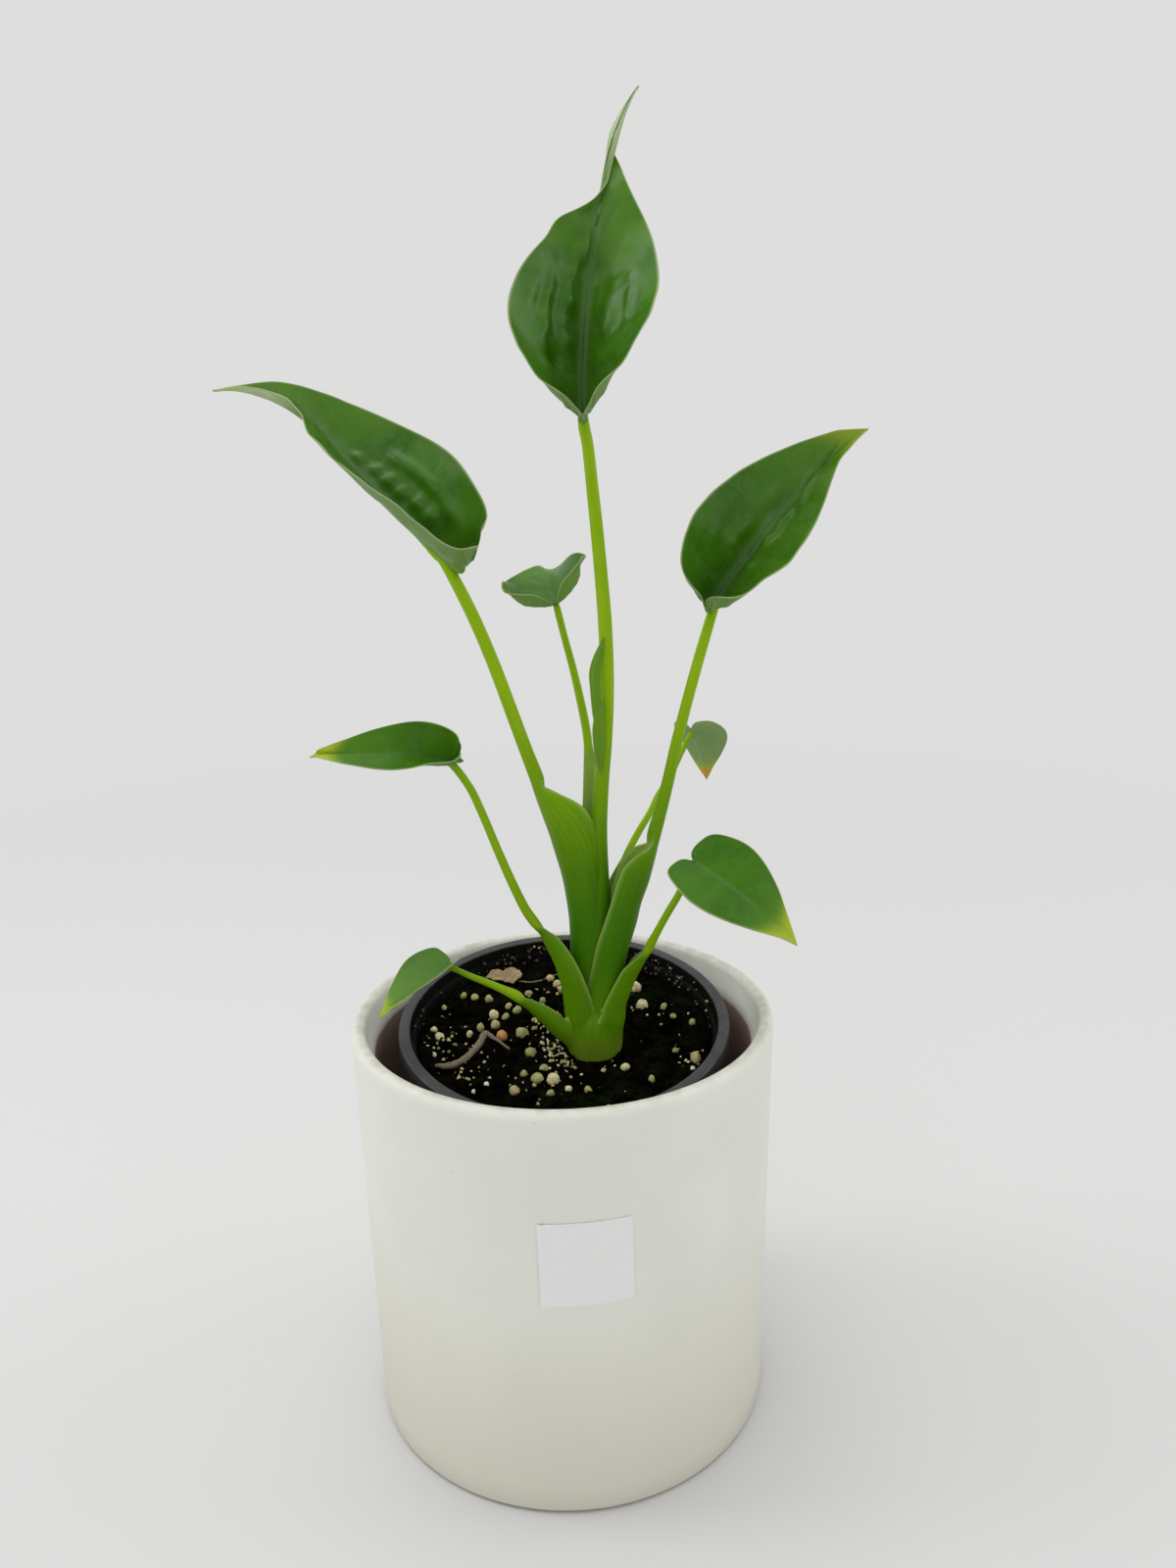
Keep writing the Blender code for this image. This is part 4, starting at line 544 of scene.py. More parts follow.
def paint_leaf(key, big):
    """Glossy upper face with a grey-green midrib band; paler matte underside; coloured tip."""
    p = Paint("leaf_" + key)
    out, under, along = p.attribute("out"), p.attribute("under"), p.attribute("along")
    vein, seed, mid_mm = p.attribute("vein"), p.attribute("seed"), p.attribute("mid_mm")
    fine = p.drawn_out(3.0, 0.6, p.times(p.attribute("rib"), 170.0), p.times(out, 2.2), seed)
    ray = p.drawn_out(3.0, 0.6, p.times(mid_mm, 2.6), p.times(along, 3.0), seed)
    cloud = p.noise(70.0, 4.0, 0.6)
    face = p.ramp(cloud, 0.3, 0.7, (0.026, 0.108, 0.001), (0.052, 0.165, 0.002))
    face = p.mix(p.fit(p.noise(24.0, 2.0), 0.5, 0.68, 0.0, 0.6), face, (0.09, 0.215, 0.001))
    mottle = p.fit(p.noise(480.0, 6.0, 0.7), 0.48, 0.66, 0.0, 0.5 if big else 0.25)
    face = p.mix(mottle, face, (0.075, 0.17, 0.03))
    face = p.mix(p.fit(fine, 0.35, 0.7, 0.0, 0.35), face, (0.045, 0.16, 0.006))
    face = p.over(face, (0.10, 0.20, 0.05), vein, 0.2)
    band = p.times(p.fit(mid_mm, 0.3, 3.6 if big else 1.4, 1.0, 0.0), p.fit(along, 0.0, 0.95, 1.0, 0.3))
    band = p.times(band, p.fit(ray, 0.3, 0.65, 0.55, 1.0))
    face = p.over(face, (0.14, 0.245, 0.095), band, 0.9 if big else 0.3)
    face = p.over(face, (0.10, 0.25, 0.008), p.fit(along, 0.35, 1.0), 0.6)
    back = p.ramp(cloud, 0.3, 0.7, (0.10, 0.215, 0.03), (0.14, 0.27, 0.04))
    back = p.mix(p.fit(fine, 0.4, 0.7, 0.0, 0.3), back, (0.19, 0.31, 0.08))
    back = p.over(back, (0.22, 0.34, 0.10), vein, 0.35)
    pale_tip = p.fit(along, 0.62, 0.9, 0.0, PALE_BACK_TIP.get(key, 0.1))
    base = p.mix(under, face, p.mix(pale_tip, back, (0.50, 0.56, 0.36)))
    # Painted sheen and light: some whole blades are painted paler and greyer.
    base = p.mix(PAINTED_LEAF_LIGHT.get(key, 0.0), base, (0.24, 0.36, 0.14))
    base = p.over(base, (0.30, 0.38, 0.16), p.fit(out, 0.968, 0.995), 0.8)
    kind = BLADES[key]["tip"][1]
    ragged = p.times(p.math("SUBTRACT", p.noise(420.0, 4.0), 0.5), 0.2)
    ragged = p.math("ADD", p.attribute("tipness"), ragged)
    if kind > 0.0:
        edge = p.times(p.math("POWER", out, 5.0), 0.2)
        yellow = p.fit(p.math("ADD", ragged, edge), 0.2, 0.95)
        base = p.over(base, (0.42, 0.50, 0.03), yellow, min(kind, 1.0) * 0.95)
    if kind > 1.0:
        base = p.ramp(ragged, 0.62, 0.85, base, (0.62, 0.33, 0.06))
        base = p.ramp(ragged, 0.95, 1.1, base, (0.35, 0.19, 0.07))
    shine = p.add("Mix", {0: under, 2: p.fit(cloud, 0.3, 0.7, 0.26, 0.36), 3: 0.5}).outputs[0]
    p.set(Base_Color=base, Roughness=shine, Specular_IOR_Level=0.24 if big else 0.12)
    small = p.bump(fine, 0.1, 0.55)
    p.bump(p.noise(900.0, 3.0), 0.05, 0.5, small)
    return p.mat


def paint_young_leaf():
    p = Paint("young_leaf")
    streak = p.grain(3.0, 0.6, 14.0, 0.05)
    base = p.ramp(streak, 0.3, 0.7, (0.085, 0.20, 0.008), (0.15, 0.30, 0.016))
    base = p.mix(p.attribute("margin"), base, (0.40, 0.52, 0.08))
    p.set(Base_Color=base, Roughness=0.4, Specular_IOR_Level=0.15)
    p.bump(streak, 0.08, 0.6)
    return p.mat


def paint_paper():
    p = Paint("paper")
    base = p.mix(p.noise(300.0, 5.0), (0.79, 0.795, 0.79), (0.84, 0.84, 0.835))
    p.set(Base_Color=base, Roughness=0.55)
    p.bump(p.noise(1800.0, 4.0), 0.03, 0.5)
    return p.mat


def paint_twig():
    p = Paint("twig")
    bark = p.grain(5.0, 0.65, 5.0, 0.25)
    base = p.ramp(bark, 0.3, 0.7, (0.12, 0.09, 0.055), (0.38, 0.30, 0.21))
    base = p.over(base, (0.17, 0.19, 0.07), p.fit(p.noise(260.0, 3.0), 0.56, 0.7), 0.5)
    p.set(Base_Color=base, Roughness=0.8)
    p.bump(bark, 0.35, 1.0)
    return p.mat


def paint_dry_leaf():
    p = Paint("dry_leaf")
    vein = p.grain(4.0, 0.6, 9.0, 1.5)
    base = p.ramp(vein, 0.3, 0.7, (0.20, 0.12, 0.05), (0.44, 0.325, 0.175))
    base = p.mix(p.fit(p.noise(330.0, 4.0), 0.55, 0.75, 0.0, 0.7), base, (0.12, 0.07, 0.04))
    p.set(Base_Color=base, Roughness=0.75)
    p.bump(vein, 0.3, 0.9)
    return p.mat


def paint_floor():
    """Pale sweep that takes on the backdrop's brightness far from the pot."""
    p = Paint("floor")
    p.set(Base_Color=FLOOR_TONE, Roughness=0.9, Specular_IOR_Level=0.1)
    away = p.add("VectorMath", {0: p.coord}, operation="LENGTH").outputs["Value"]
    glow = p.add("Emission", {"Color": BACKDROP_TONE}).outputs[0]
    blend = p.add("MixShader", {0: p.fit(away, 0.12, 1.1), 1: p.shader.outputs[0], 2: glow})
    p.put(p.tree.nodes["Material Output"].inputs["Surface"], blend.outputs[0])
    return p.mat


def linked(name, data):
    """New object in the scene."""
    thing = bpy.data.objects.new(name, data)
    bpy.context.scene.collection.objects.link(thing)
    return thing


def mesh_of(name, points, faces):
    """Mesh from points in millimetres."""
    mesh = bpy.data.meshes.new(name)
    corners = [[int(k) for k in face] for face in faces]
    mesh.from_pydata((np.asarray(points, float) * MM).tolist(), [], corners)
    return mesh


def make_piece(name, points, faces, material, replaced=(), facts=None, sharp=50.0):
    """Piece that rides on the one body, with the facts its material asks for at each point.

    Edges bent by more than sharp, in degrees, are shown as edges.
    """
    mesh = mesh_of(name, points, faces)
    for key, values in (facts or {}).items():
        layer = mesh.attributes.new(key, "FLOAT", "POINT")
        layer.data.foreach_set("value", np.asarray(values, np.float32))
    mesh.validate()
    bm = bmesh.new()
    bm.from_mesh(mesh)
    bmesh.ops.recalc_face_normals(bm, faces=bm.faces)
    for face in bm.faces:
        face.smooth = True
    for edge in bm.edges:
        if len(edge.link_faces) == 2:
            edge.smooth = edge.calc_face_angle(0.0) < math.radians(sharp)
    bm.to_mesh(mesh)
    bm.free()
    mesh.materials.append(material)
    piece = linked(name, mesh)
    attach(piece, BODY)
    if replaced:
        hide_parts(*replaced)
    return piece


def with_modifier(thing, kind, **settings):
    """The thing's mesh as one modifier leaves it."""
    modifier = thing.modifiers.new(kind, kind)
    for name, value in settings.items():
        setattr(modifier, name, value)
    shown = thing.evaluated_get(bpy.context.evaluated_depsgraph_get())
    mesh = bpy.data.meshes.new_from_object(shown)
    thing.modifiers.clear()
    return mesh


def curve_through(points, count):
    """Evenly stepped points on a Catmull-Rom curve, for rows of any shape."""
    pts = np.asarray(points, float)
    pts = np.concatenate([[2 * pts[0] - pts[1]], pts, [2 * pts[-1] - pts[-2]]])
    step = np.linspace(0.0, len(pts) - 3, count)
    i = np.minimum(step.astype(int), len(pts) - 4)
    f = (step - i).reshape((-1,) + (1,) * (pts.ndim - 1))
    a, b, c, d = pts[i], pts[i + 1], pts[i + 2], pts[i + 3]
    return 0.5 * (2 * b + (c - a) * f + (2 * a - 5 * b + 4 * c - d) * f ** 2
                  + (3 * b - a - 3 * c + d) * f ** 3)


def smooth_step(t, low=0.0, high=1.0):
    """Rises smoothly from 0 at low to 1 at high."""
    t = np.clip((np.asarray(t, float) - low) / (high - low), 0.0, 1.0)
    return t * t * (3.0 - 2.0 * t)


def fade(t, low, high):
    """Falls smoothly from 1 at low to 0 at high."""
    return 1.0 - smooth_step(t, low, high)


def bell(away, width):
    """Bell curve: 1 at no distance, about a third at the width."""
    return np.exp(-(away / width) ** 2)


def soften(rows, part):
    """Rows smoothed along their order, with both ends kept in place."""
    rows = np.asarray(rows, float)
    sigma = part * len(rows)
    pad = int(3.0 * sigma) + 1
    low = 2.0 * rows[0] - rows[pad:0:-1]
    high = 2.0 * rows[-1] - rows[-2:-pad - 2:-1]
    whole = np.concatenate([low, rows, high])
    weight = np.exp(-0.5 * (np.arange(-pad, pad + 1) / sigma) ** 2)
    weight /= weight.sum()
    return sum(w * whole[k:k + len(rows)] for k, w in enumerate(weight))


def wave(points, size, seed=0.0):
    """Smooth noise between about -1 and 1 at points in millimetres."""
    shift = Vector((seed * 7.3, seed * 3.1, seed * 5.7))
    flat = np.asarray(points, float).reshape(-1, 3) / size
    return np.array([noise.noise(Vector(p) + shift) for p in flat])


def revolve(profile, segments, matrix=None):
    """Closed solid of revolution and, for each point, its place along the profile."""
    points = []
    rings = []
    place = []
    for k, (radius, height) in enumerate(profile):
        count = 1 if radius < 1e-6 else segments
        rings.append(list(range(len(points), len(points) + count)))
        for i in range(count):
            turn = 2.0 * math.pi * i / segments
            spot = Vector((radius * math.cos(turn), radius * math.sin(turn), height))
            points.append(spot if matrix is None else matrix @ spot)
            place.append(k)
    faces = []
    for low, high in zip(rings, rings[1:]):
        for i in range(segments):
            nxt = (i + 1) % segments
            if len(low) == 1:
                faces.append((low[0], high[nxt], high[i]))
            elif len(high) == 1:
                faces.append((low[i], low[nxt], high[0]))
            else:
                faces.append((low[i], low[nxt], high[nxt], high[i]))
    return np.array([tuple(p) for p in points]), faces, np.array(place)


def nursery_frame():
    """Turns and moves the nursery pot's upright frame to where the pot leans."""
    lean = Matrix.Rotation(math.radians(NURSERY_TILT), 4, "X")
    up = lean @ Vector((0.0, 0.0, 1.0))
    return Matrix.Translation(Vector(NURSERY_RIM_CENTRE) - up * NURSERY_H) @ lean


def placed(lean, points):
    """Points of the nursery pot's upright frame where the leaning pot has them."""
    return [tuple(lean @ Vector(p)) for p in points]


def cover_profile():
    profile = list(COVER_OUTER)
    middle_r = WALL_R_IN - CORNER_R
    middle_z = FLOOR_Z + CORNER_R
    for k in range(CORNER_STEPS + 1):
        turn = math.radians(90.0 * k / CORNER_STEPS)
        profile.append((middle_r + CORNER_R * math.cos(turn), middle_z - CORNER_R * math.sin(turn)))
    profile.append((0.0, FLOOR_Z))
    return profile


def cover_radius(height):
    """Outer radius where the label is."""
    radii, heights = zip(*COVER_OUTER[4:9])
    return float(np.interp(height, heights, radii))


def build_cover_pot():
    """Glazed pot, with marks for its inside and for the worn lip."""
    profile = cover_profile()
    points, faces, place = revolve(profile, COVER_SEGMENTS)
    top = max(range(len(profile)), key=lambda k: profile[k][1])
    inside = (place > top).astype(float)
    lip = bell(place - top, 2.2)
    make_piece("cover_pot", points, faces, paint_glaze(), ("cover_pot",),
               {"inside": inside, "lip": lip}, sharp=40.0)


def build_nursery_pot(lean):
    """Leaning plastic pot with its drain holes cut out."""
    points, faces, place = revolve(NURSERY_PROFILE, NURSERY_SEGMENTS, lean)
    wall = (place >= WALL_FROM).astype(float)
    pot = make_piece("nursery_pot", points, faces, paint_pot_plastic(),
                     ("nursery_pot",), {"wall": wall}, sharp=30.0)
    low, high = DRAIN_CUT
    profile = ((0.0, low), (DRAIN_R, low), (DRAIN_R, high), (0.0, high))
    for k in range(DRAIN_HOLES):
        turn = 2.0 * math.pi * (k + 0.5) / DRAIN_HOLES
        spot = Vector((DRAIN_RING_R * math.cos(turn), DRAIN_RING_R * math.sin(turn), 0.0))
        points, faces, _ = revolve(profile, DRAIN_SEGMENTS, lean @ Matrix.Translation(spot))
        hole = linked("drain", mesh_of("drain", points, faces))
        pot.data = with_modifier(pot, "BOOLEAN", operation="DIFFERENCE", solver="EXACT",
                                 object=hole)
        bpy.data.objects.remove(hole, do_unlink=True)


def soil_height(x, y):
    """Height of the rough soil above its mean plane, in millimetres."""
    spot = np.stack([x, y, np.zeros_like(x)], axis=-1)
    h = sum(high * wave(spot, size, seed) for seed, (high, size) in enumerate(SOIL_WAVES, 1))
    away = np.hypot(spot[..., 0] - CROWN_AT_SOIL[0], spot[..., 1] - CROWN_AT_SOIL[1])
    gap = np.maximum(away - CROWN_CLEAR, 0.0)
    return h.reshape(np.shape(x)) - CROWN_DIP * bell(gap, 3.5)


def build_soil(lean, peat):
    """Rough top surface closed by the pot's inner shape."""
    rings, segments = SOIL_GRID
    radii = SOIL_R * np.linspace(0.0, 1.0, rings + 1)[1:] ** 0.9
    turn = np.linspace(0.0, 2.0 * math.pi, segments, endpoint=False)
    x = radii[:, None] * np.cos(turn)[None, :]
    y = radii[:, None] * np.sin(turn)[None, :]
    rise, start, end = SOIL_RISE
    z = SOIL_TOP + soil_height(x, y) + rise * smooth_step(radii, start, end)[:, None]
    points = [(0.0, 0.0, SOIL_TOP)] + np.stack([x, y, z], axis=-1).reshape(-1, 3).tolist()
    for radius, height in SOIL_BELOW:
        points += [(radius * math.cos(a), radius * math.sin(a), height) for a in turn]
    end = len(points)
    points.append((0.0, 0.0, SOIL_BOTTOM))
    faces = []
    for i in range(segments):
        nxt = (i + 1) % segments
        faces.append((0, 1 + i, 1 + nxt))
        for first in range(1, end - segments, segments):
            low = first + segments
            faces.append((first + i, low + i, low + nxt, first + nxt))
        faces.append((end - segments + i, end, end - segments + nxt))
    make_piece("soil", placed(lean, points), faces, peat, ("soil",), sharp=80.0)


def ball(subdivisions):
    bm = bmesh.new()
    bmesh.ops.create_icosphere(bm, subdivisions=subdivisions, radius=1.0)
    points = np.array([v.co[:] for v in bm.verts])
    faces = [[v.index for v in f.verts] for f in bm.faces]
    bm.free()
    return points, faces


def build_lumps(name, places, rng, rough, detail, lean, material):
    """Irregular grains. Each place is x, y, z, radius, kind in the soil's frame."""
    base, base_faces = ball(detail)
    points, faces, kinds = [], [], []
    for n, (x, y, z, radius, kind) in enumerate(places):
        shape = base * rng.uniform(*GRAIN_STRETCH, 3)
        shape = shape * (1.0 + rough * wave(base, 0.8, 10.0 + n)[:, None])
        axis = Vector(rng.normal(size=3)).normalized()
        turn = np.array(Matrix.Rotation(rng.uniform(0.0, 6.28), 3, axis))
        shape = shape @ turn.T * radius + np.array([x, y, z])
        first = len(points)
        points += shape.tolist()
        faces += [[first + k for k in face] for face in base_faces]
        kinds += [kind] * len(base)
    facts = {"kind": kinds} if any(kinds) else None
    make_piece(name, placed(lean, points), faces, material, (), facts, sharp=60.0)


def near_crown(x, y, margin):
    """True where the crown stands in the soil's plane."""
    return math.hypot(x - CROWN_AT_SOIL[0], y - CROWN_AT_SOIL[1]) < CROWN_CLEAR + margin


def on_soil(x, y, radius, kind, up, follow=1.0):
    """Grain that follows the soil's height and sits up times its radius above it."""
    return x, y, SOIL_TOP + float(soil_height(x, y)) * follow + up * radius, radius, kind


def dark_crumbs(rng):
    """Peat crumbs all over the soil, most of them small."""
    places = []
    while len(places) < DARK_CRUMBS:
        away = DARK_REACH * math.sqrt(rng.uniform())
        turn = rng.uniform(0.0, 2.0 * math.pi)
        x, y = away * math.cos(turn), away * math.sin(turn)
        size = rng.uniform(0.3, 1.0) ** 2.2 * 1.05 + 0.16
        if not near_crown(x, y, size) and away + size <= DARK_END:
            places.append(on_soil(x, y, size, BROWN, 0.1))
    return places


def patch_crumbs(rng, x0, y0, spread, count):
    """Pale crumbs scattered round one place."""
    places = []
    while len(places) < count:
        x, y = rng.normal((x0, y0), spread)
        size = rng.uniform(*PATCH_RADII)
        if not near_crown(x, y, size) and math.hypot(x, y) + size <= PALE_END:
            kind = rng.choice(list(PATCH_KINDS), p=list(PATCH_KINDS.values()))
            places.append(on_soil(x, y, size, kind, 0.25))
    return places


def wall_dirt(rng, low, high, count):
    """Grains that stick to the nursery pot's inner wall between two headings."""
    places = []
    for _ in range(count):
        turn = math.radians(rng.uniform(low, high))
        height = rng.uniform(*DIRT_HEIGHTS)
        size = rng.uniform(*DIRT_RADII)
        reach = float(np.interp(height, (108.6, 109.7), (45.3, 46.4))) - 0.4 * size
        kind = rng.choice(list(DIRT_KINDS), p=list(DIRT_KINDS.values()))
        places.append((reach * math.cos(turn), reach * math.sin(turn), height, size, kind))
    return places


def build_crumbs(lean, peat):
    rng = np.random.default_rng(CRUMB_SEED)
    build_lumps("peat_crumbs", dark_crumbs(rng), rng, 0.45, 2, lean, peat)
    pale = []
    for patch in CRUMB_PATCHES:
        pale += patch_crumbs(rng, *patch)
    pale += [on_soil(*prill, 0.35, 0.5) for prill in PRILLS]
    for part in WALL_DIRT:
        pale += wall_dirt(rng, *part)
    small = [p for p in pale if p[3] < LARGE_CRUMB]
    large = [p for p in pale if p[3] >= LARGE_CRUMB]
    material = paint_prill()
    build_lumps("pale_crumbs", small, rng, 0.5, 2, lean, material)
    build_lumps("prills", large, rng, 0.16, 4, lean, material)


def section_loop(section, back, along):
    """Points of one leafstalk section, in the same order for round and sheath sections."""
    middle = np.array(section[:3])
    out = back - along * back.dot(along)
    out /= np.linalg.norm(out)
    side = np.cross(along, out)
    if len(section) == 4:
        outer = np.linspace(-90.0, 90.0, OUTER_POINTS)
        inner = np.linspace(90.0, 270.0, INNER_POINTS + 2)[1:-1]
        turn = np.radians(np.concatenate([outer, inner]))[:, None]
        return middle + (out * np.cos(turn) + side * np.sin(turn)) * section[3]
    radius, thick, margin, half = section[3:]
    axis = middle - out * (radius - 0.5 * thick)
    outer = np.radians(np.linspace(-half, half, OUTER_POINTS))
    part = np.linspace(0.965, -0.965, INNER_POINTS)
    wall = margin + (thick - margin) * (0.5 + 0.5 * np.cos(np.pi * part))
    wall[0] = wall[-1] = margin * 0.8
    turn = np.concatenate([outer, math.radians(half) * part])[:, None]
    reach = np.concatenate([np.full(OUTER_POINTS, radius), radius - wall])[:, None]
    return axis + (out * np.cos(turn) + side * np.sin(turn)) * reach


def blade_spine(leaf):
    """Points and frames along the midrib: ahead, out of the face."""
    heading, rise = math.radians(leaf["heading"]), math.radians(leaf["rise"])
    ahead = Vector((math.cos(rise) * math.cos(heading), math.cos(rise) * math.sin(heading),
                    math.sin(rise)))
    face = Vector((-math.sin(rise) * math.cos(heading), -math.sin(rise) * math.sin(heading),
                   math.cos(rise)))
    face = Matrix.Rotation(math.radians(leaf["roll"]), 3, ahead) @ face
    amount, start, span = leaf["tip_twist"]
    spot = Vector(leaf["foot"])
    out = [(spot.copy(), ahead.copy(), face.copy())]

    def twist(q):
        return leaf["twist"] * min(q / 0.6, 1.0) + amount * float(smooth_step((q - start) / span))

    for i in range(SPINE_STEPS):
        q = (i + 0.5) / SPINE_STEPS
        late = 4.0 * max(q - 0.5, 0.0)
        up = (leaf["bend"][0] if q < 0.5 else leaf["bend"][1] * late) * 2.0 / SPINE_STEPS
        off = (leaf["sway"][0] if q < 0.5 else leaf["sway"][1] * late) * 2.0 / SPINE_STEPS
        turn = twist((i + 1) / SPINE_STEPS) - twist(i / SPINE_STEPS)
        bend = Matrix.Rotation(math.radians(up), 3, ahead.cross(face))
        new, face = bend @ ahead, bend @ face
        new = Matrix.Rotation(math.radians(off), 3, face) @ new
        face = Matrix.Rotation(math.radians(turn), 3, new) @ face
        spot = spot + (ahead + new) * (0.5 * leaf["length"] / SPINE_STEPS)
        ahead = new
        out.append((spot.copy(), ahead.copy(), face.copy()))
    return [np.array([[v.x, v.y, v.z] for v in col]) for col in zip(*out)]


def blade_outline(leaf, count, side):
    """Edge of one half in the flat: distance along the midrib and out from it."""
    dx, dy, dh, _ = [side * v for v in leaf["uneven"]]
    lobe = leaf["lobe"][0]
    far, low = leaf["shoulder"][0] + dx, leaf["shoulder"][1] + dy
    wide = leaf["widest"]
    heel = HEEL.get(leaf["key"], 0.0)
    notch = max(0.75, heel + 0.2)
    points = ((-heel * lobe, 0.0), (-notch * lobe, 0.10), (-lobe, 0.36),
              (-0.45 * lobe, 0.78), (wide, 1.0),
              (0.5 * (wide + far) + 0.02, leaf["waist"] + dh), (far, low),
              (0.5 * (far + 1.0), 0.5 * low), (1.0, 0.0))
    edge = soften(curve_through(points, count), 0.02)
    if leaf["key"] in HUMP and side == HUMP[leaf["key"]][0]:
        _, place, long, height = HUMP[leaf["key"]]
        edge[:, 1] += height * bell(edge[:, 0] - place, long)
    return edge * np.array([leaf["length"], leaf["half_width"]])


def column_places(cols):
    """Places across a half, closer together near the midrib."""
    return np.linspace(0.0, 1.0, cols) ** 1.35


def blade_half(leaf, side, rows, cols):
    """Grid of points of one half, its rib roots and each point's distance from the midrib."""
    length = leaf["length"]
    spots, aheads, faces = blade_spine(leaf)
    edge = blade_outline(leaf, rows, side)
    even = blade_outline(leaf, rows, 0.0)
    u = np.linspace(0.0, 1.0, rows)
    root = length * np.clip((u - ROOT_START) / (1.0 - ROOT_START), 0.0, 1.0)
    root = soften(np.minimum(root, np.maximum(even[:, 0], 0.0)), 0.03)
    root = np.where(root < 0.02, 0.0, np.minimum(root, length))
    root[0], root[-1] = 0.0, length
    f = root / length * SPINE_STEPS
    i = np.minimum(f.astype(int), SPINE_STEPS - 1)
    f = (f - i)[:, None]
    spot = spots[i] * (1 - f) + spots[i + 1] * f
    ahead = aheads[i] * (1 - f) + aheads[i + 1] * f
    face = faces[i] * (1 - f) + faces[i + 1] * f
    right = np.cross(ahead, face)
    q = root / length
    rib = edge - np.stack([root, np.zeros(rows)], axis=1)
    reach = np.hypot(rib[:, 0], rib[:, 1])
    angle = np.arctan2(rib[:, 1], rib[:, 0])
    fold = np.interp(q, (0.0, 0.5, 1.0), leaf["fold"]) + side * leaf["uneven"][3] * (1.0 - q)
    lobed = smooth_step((np.degrees(angle) - 50.0) / 130.0)
    curl = np.interp(q, (0.0, 0.5), leaf["curl"]) * (1.0 - 0.7 * lobed)
    rise = np.radians(fold * np.sin(angle) + leaf["lobe"][1] * lobed)[:, None]
    rate = np.radians(curl) / leaf["half_width"]
    rate = np.where(np.abs(rate) < 1e-6, 1e-6, rate)[:, None]
    out = column_places(cols)[None, :] * reach[:, None]
    flat = (np.sin(rise + rate * out) - np.sin(rise)) / rate
    high = (np.cos(rise) - np.cos(rise + rate * out)) / rate
    way = ahead * np.cos(angle)[:, None] + side * right * np.sin(angle)[:, None]
    grid = spot[:, None] + way[:, None] * flat[..., None] + face[:, None] * high[..., None]
    away = out * np.sin(np.clip(angle, 0.0, math.pi / 2))[:, None]
    ahead_mm = np.clip(root[:, None] + out * np.cos(angle)[:, None], 0.0, length)
    return grid, root, away, ahead_mm


def triangle_normals(points, tris):
    tris = np.asarray(tris)
    a, b, c = points[tris[:, 0]], points[tris[:, 1]], points[tris[:, 2]]
    flat = np.cross(b - a, c - a)
    normals = np.zeros_like(points)
    for k in range(3):
        np.add.at(normals, tris[:, k], flat)
    return normals / np.maximum(np.linalg.norm(normals, axis=1), 1e-9)[:, None]


def shared_place(leaf, root, i, j):
    """Names a point of the grid that other points share: by its place, or None if none does."""
    if i == 0 and j > 0 and leaf["key"] in HEEL:
        return -float(j)
    if i == 0 or (j == 0 and root[i] <= 0.0):
        return 0.0
    if i == len(root) - 1:
        return 1.0
    return root[i] if j == 0 else None


def blade_sheet(leaf, rows, cols):
    """Middle surface of a blade with the facts that the material and the puckers use."""
    points, tris, rims = [], [], []
    places = column_places(cols)
    facts = {"rib": [], "out": [], "side": [], "mid_mm": [], "along": []}
    shared = {}
    for side in (1, -1):
        grid, root, away, ahead_mm = blade_half(leaf, side, rows, cols)
        ids = np.zeros((rows, cols), int)
        for i, j in np.ndindex(rows, cols):
            place = shared_place(leaf, root, i, j)
            if place in shared:
                ids[i, j] = shared[place]
                continue
            ids[i, j] = len(points)
            if place is not None:
                shared[place] = ids[i, j]
            points.append(grid[i, j])
            facts["rib"].append(i / (rows - 1))
            facts["out"].append(places[j] if place is None or place < 0.0 else 0.0)
            facts["side"].append(side)
            facts["mid_mm"].append(away[i, j])
            facts["along"].append(ahead_mm[i, j] / leaf["length"])
        for i, j in np.ndindex(rows - 1, cols - 1):
            a, b, c, d = ids[i, j], ids[i + 1, j], ids[i + 1, j + 1], ids[i, j + 1]
            for tri in ((a, b, c), (a, c, d)):
                if len(set(tri)) == 3:
                    tris.append(tri if side == -1 else tri[::-1])
        rims.append([ids[i, -1] for i in range(1, rows)])
    start = shared.get(-float(cols - 1), shared[0.0])
    loop = [start] + rims[0] + rims[1][-2::-1]
    return np.array(points), tris, loop, {k: np.array(v) for k, v in facts.items()}


def vein_phase(rib):
    """Counts the side veins: whole numbers on a vein, halves between two."""
    marks = list(LOBE_VEINS) + [ROOT_START + (1.0 - ROOT_START) * q for q in VEIN_ROOTS] + [1.0]
    return np.interp(rib, marks, range(len(marks)))


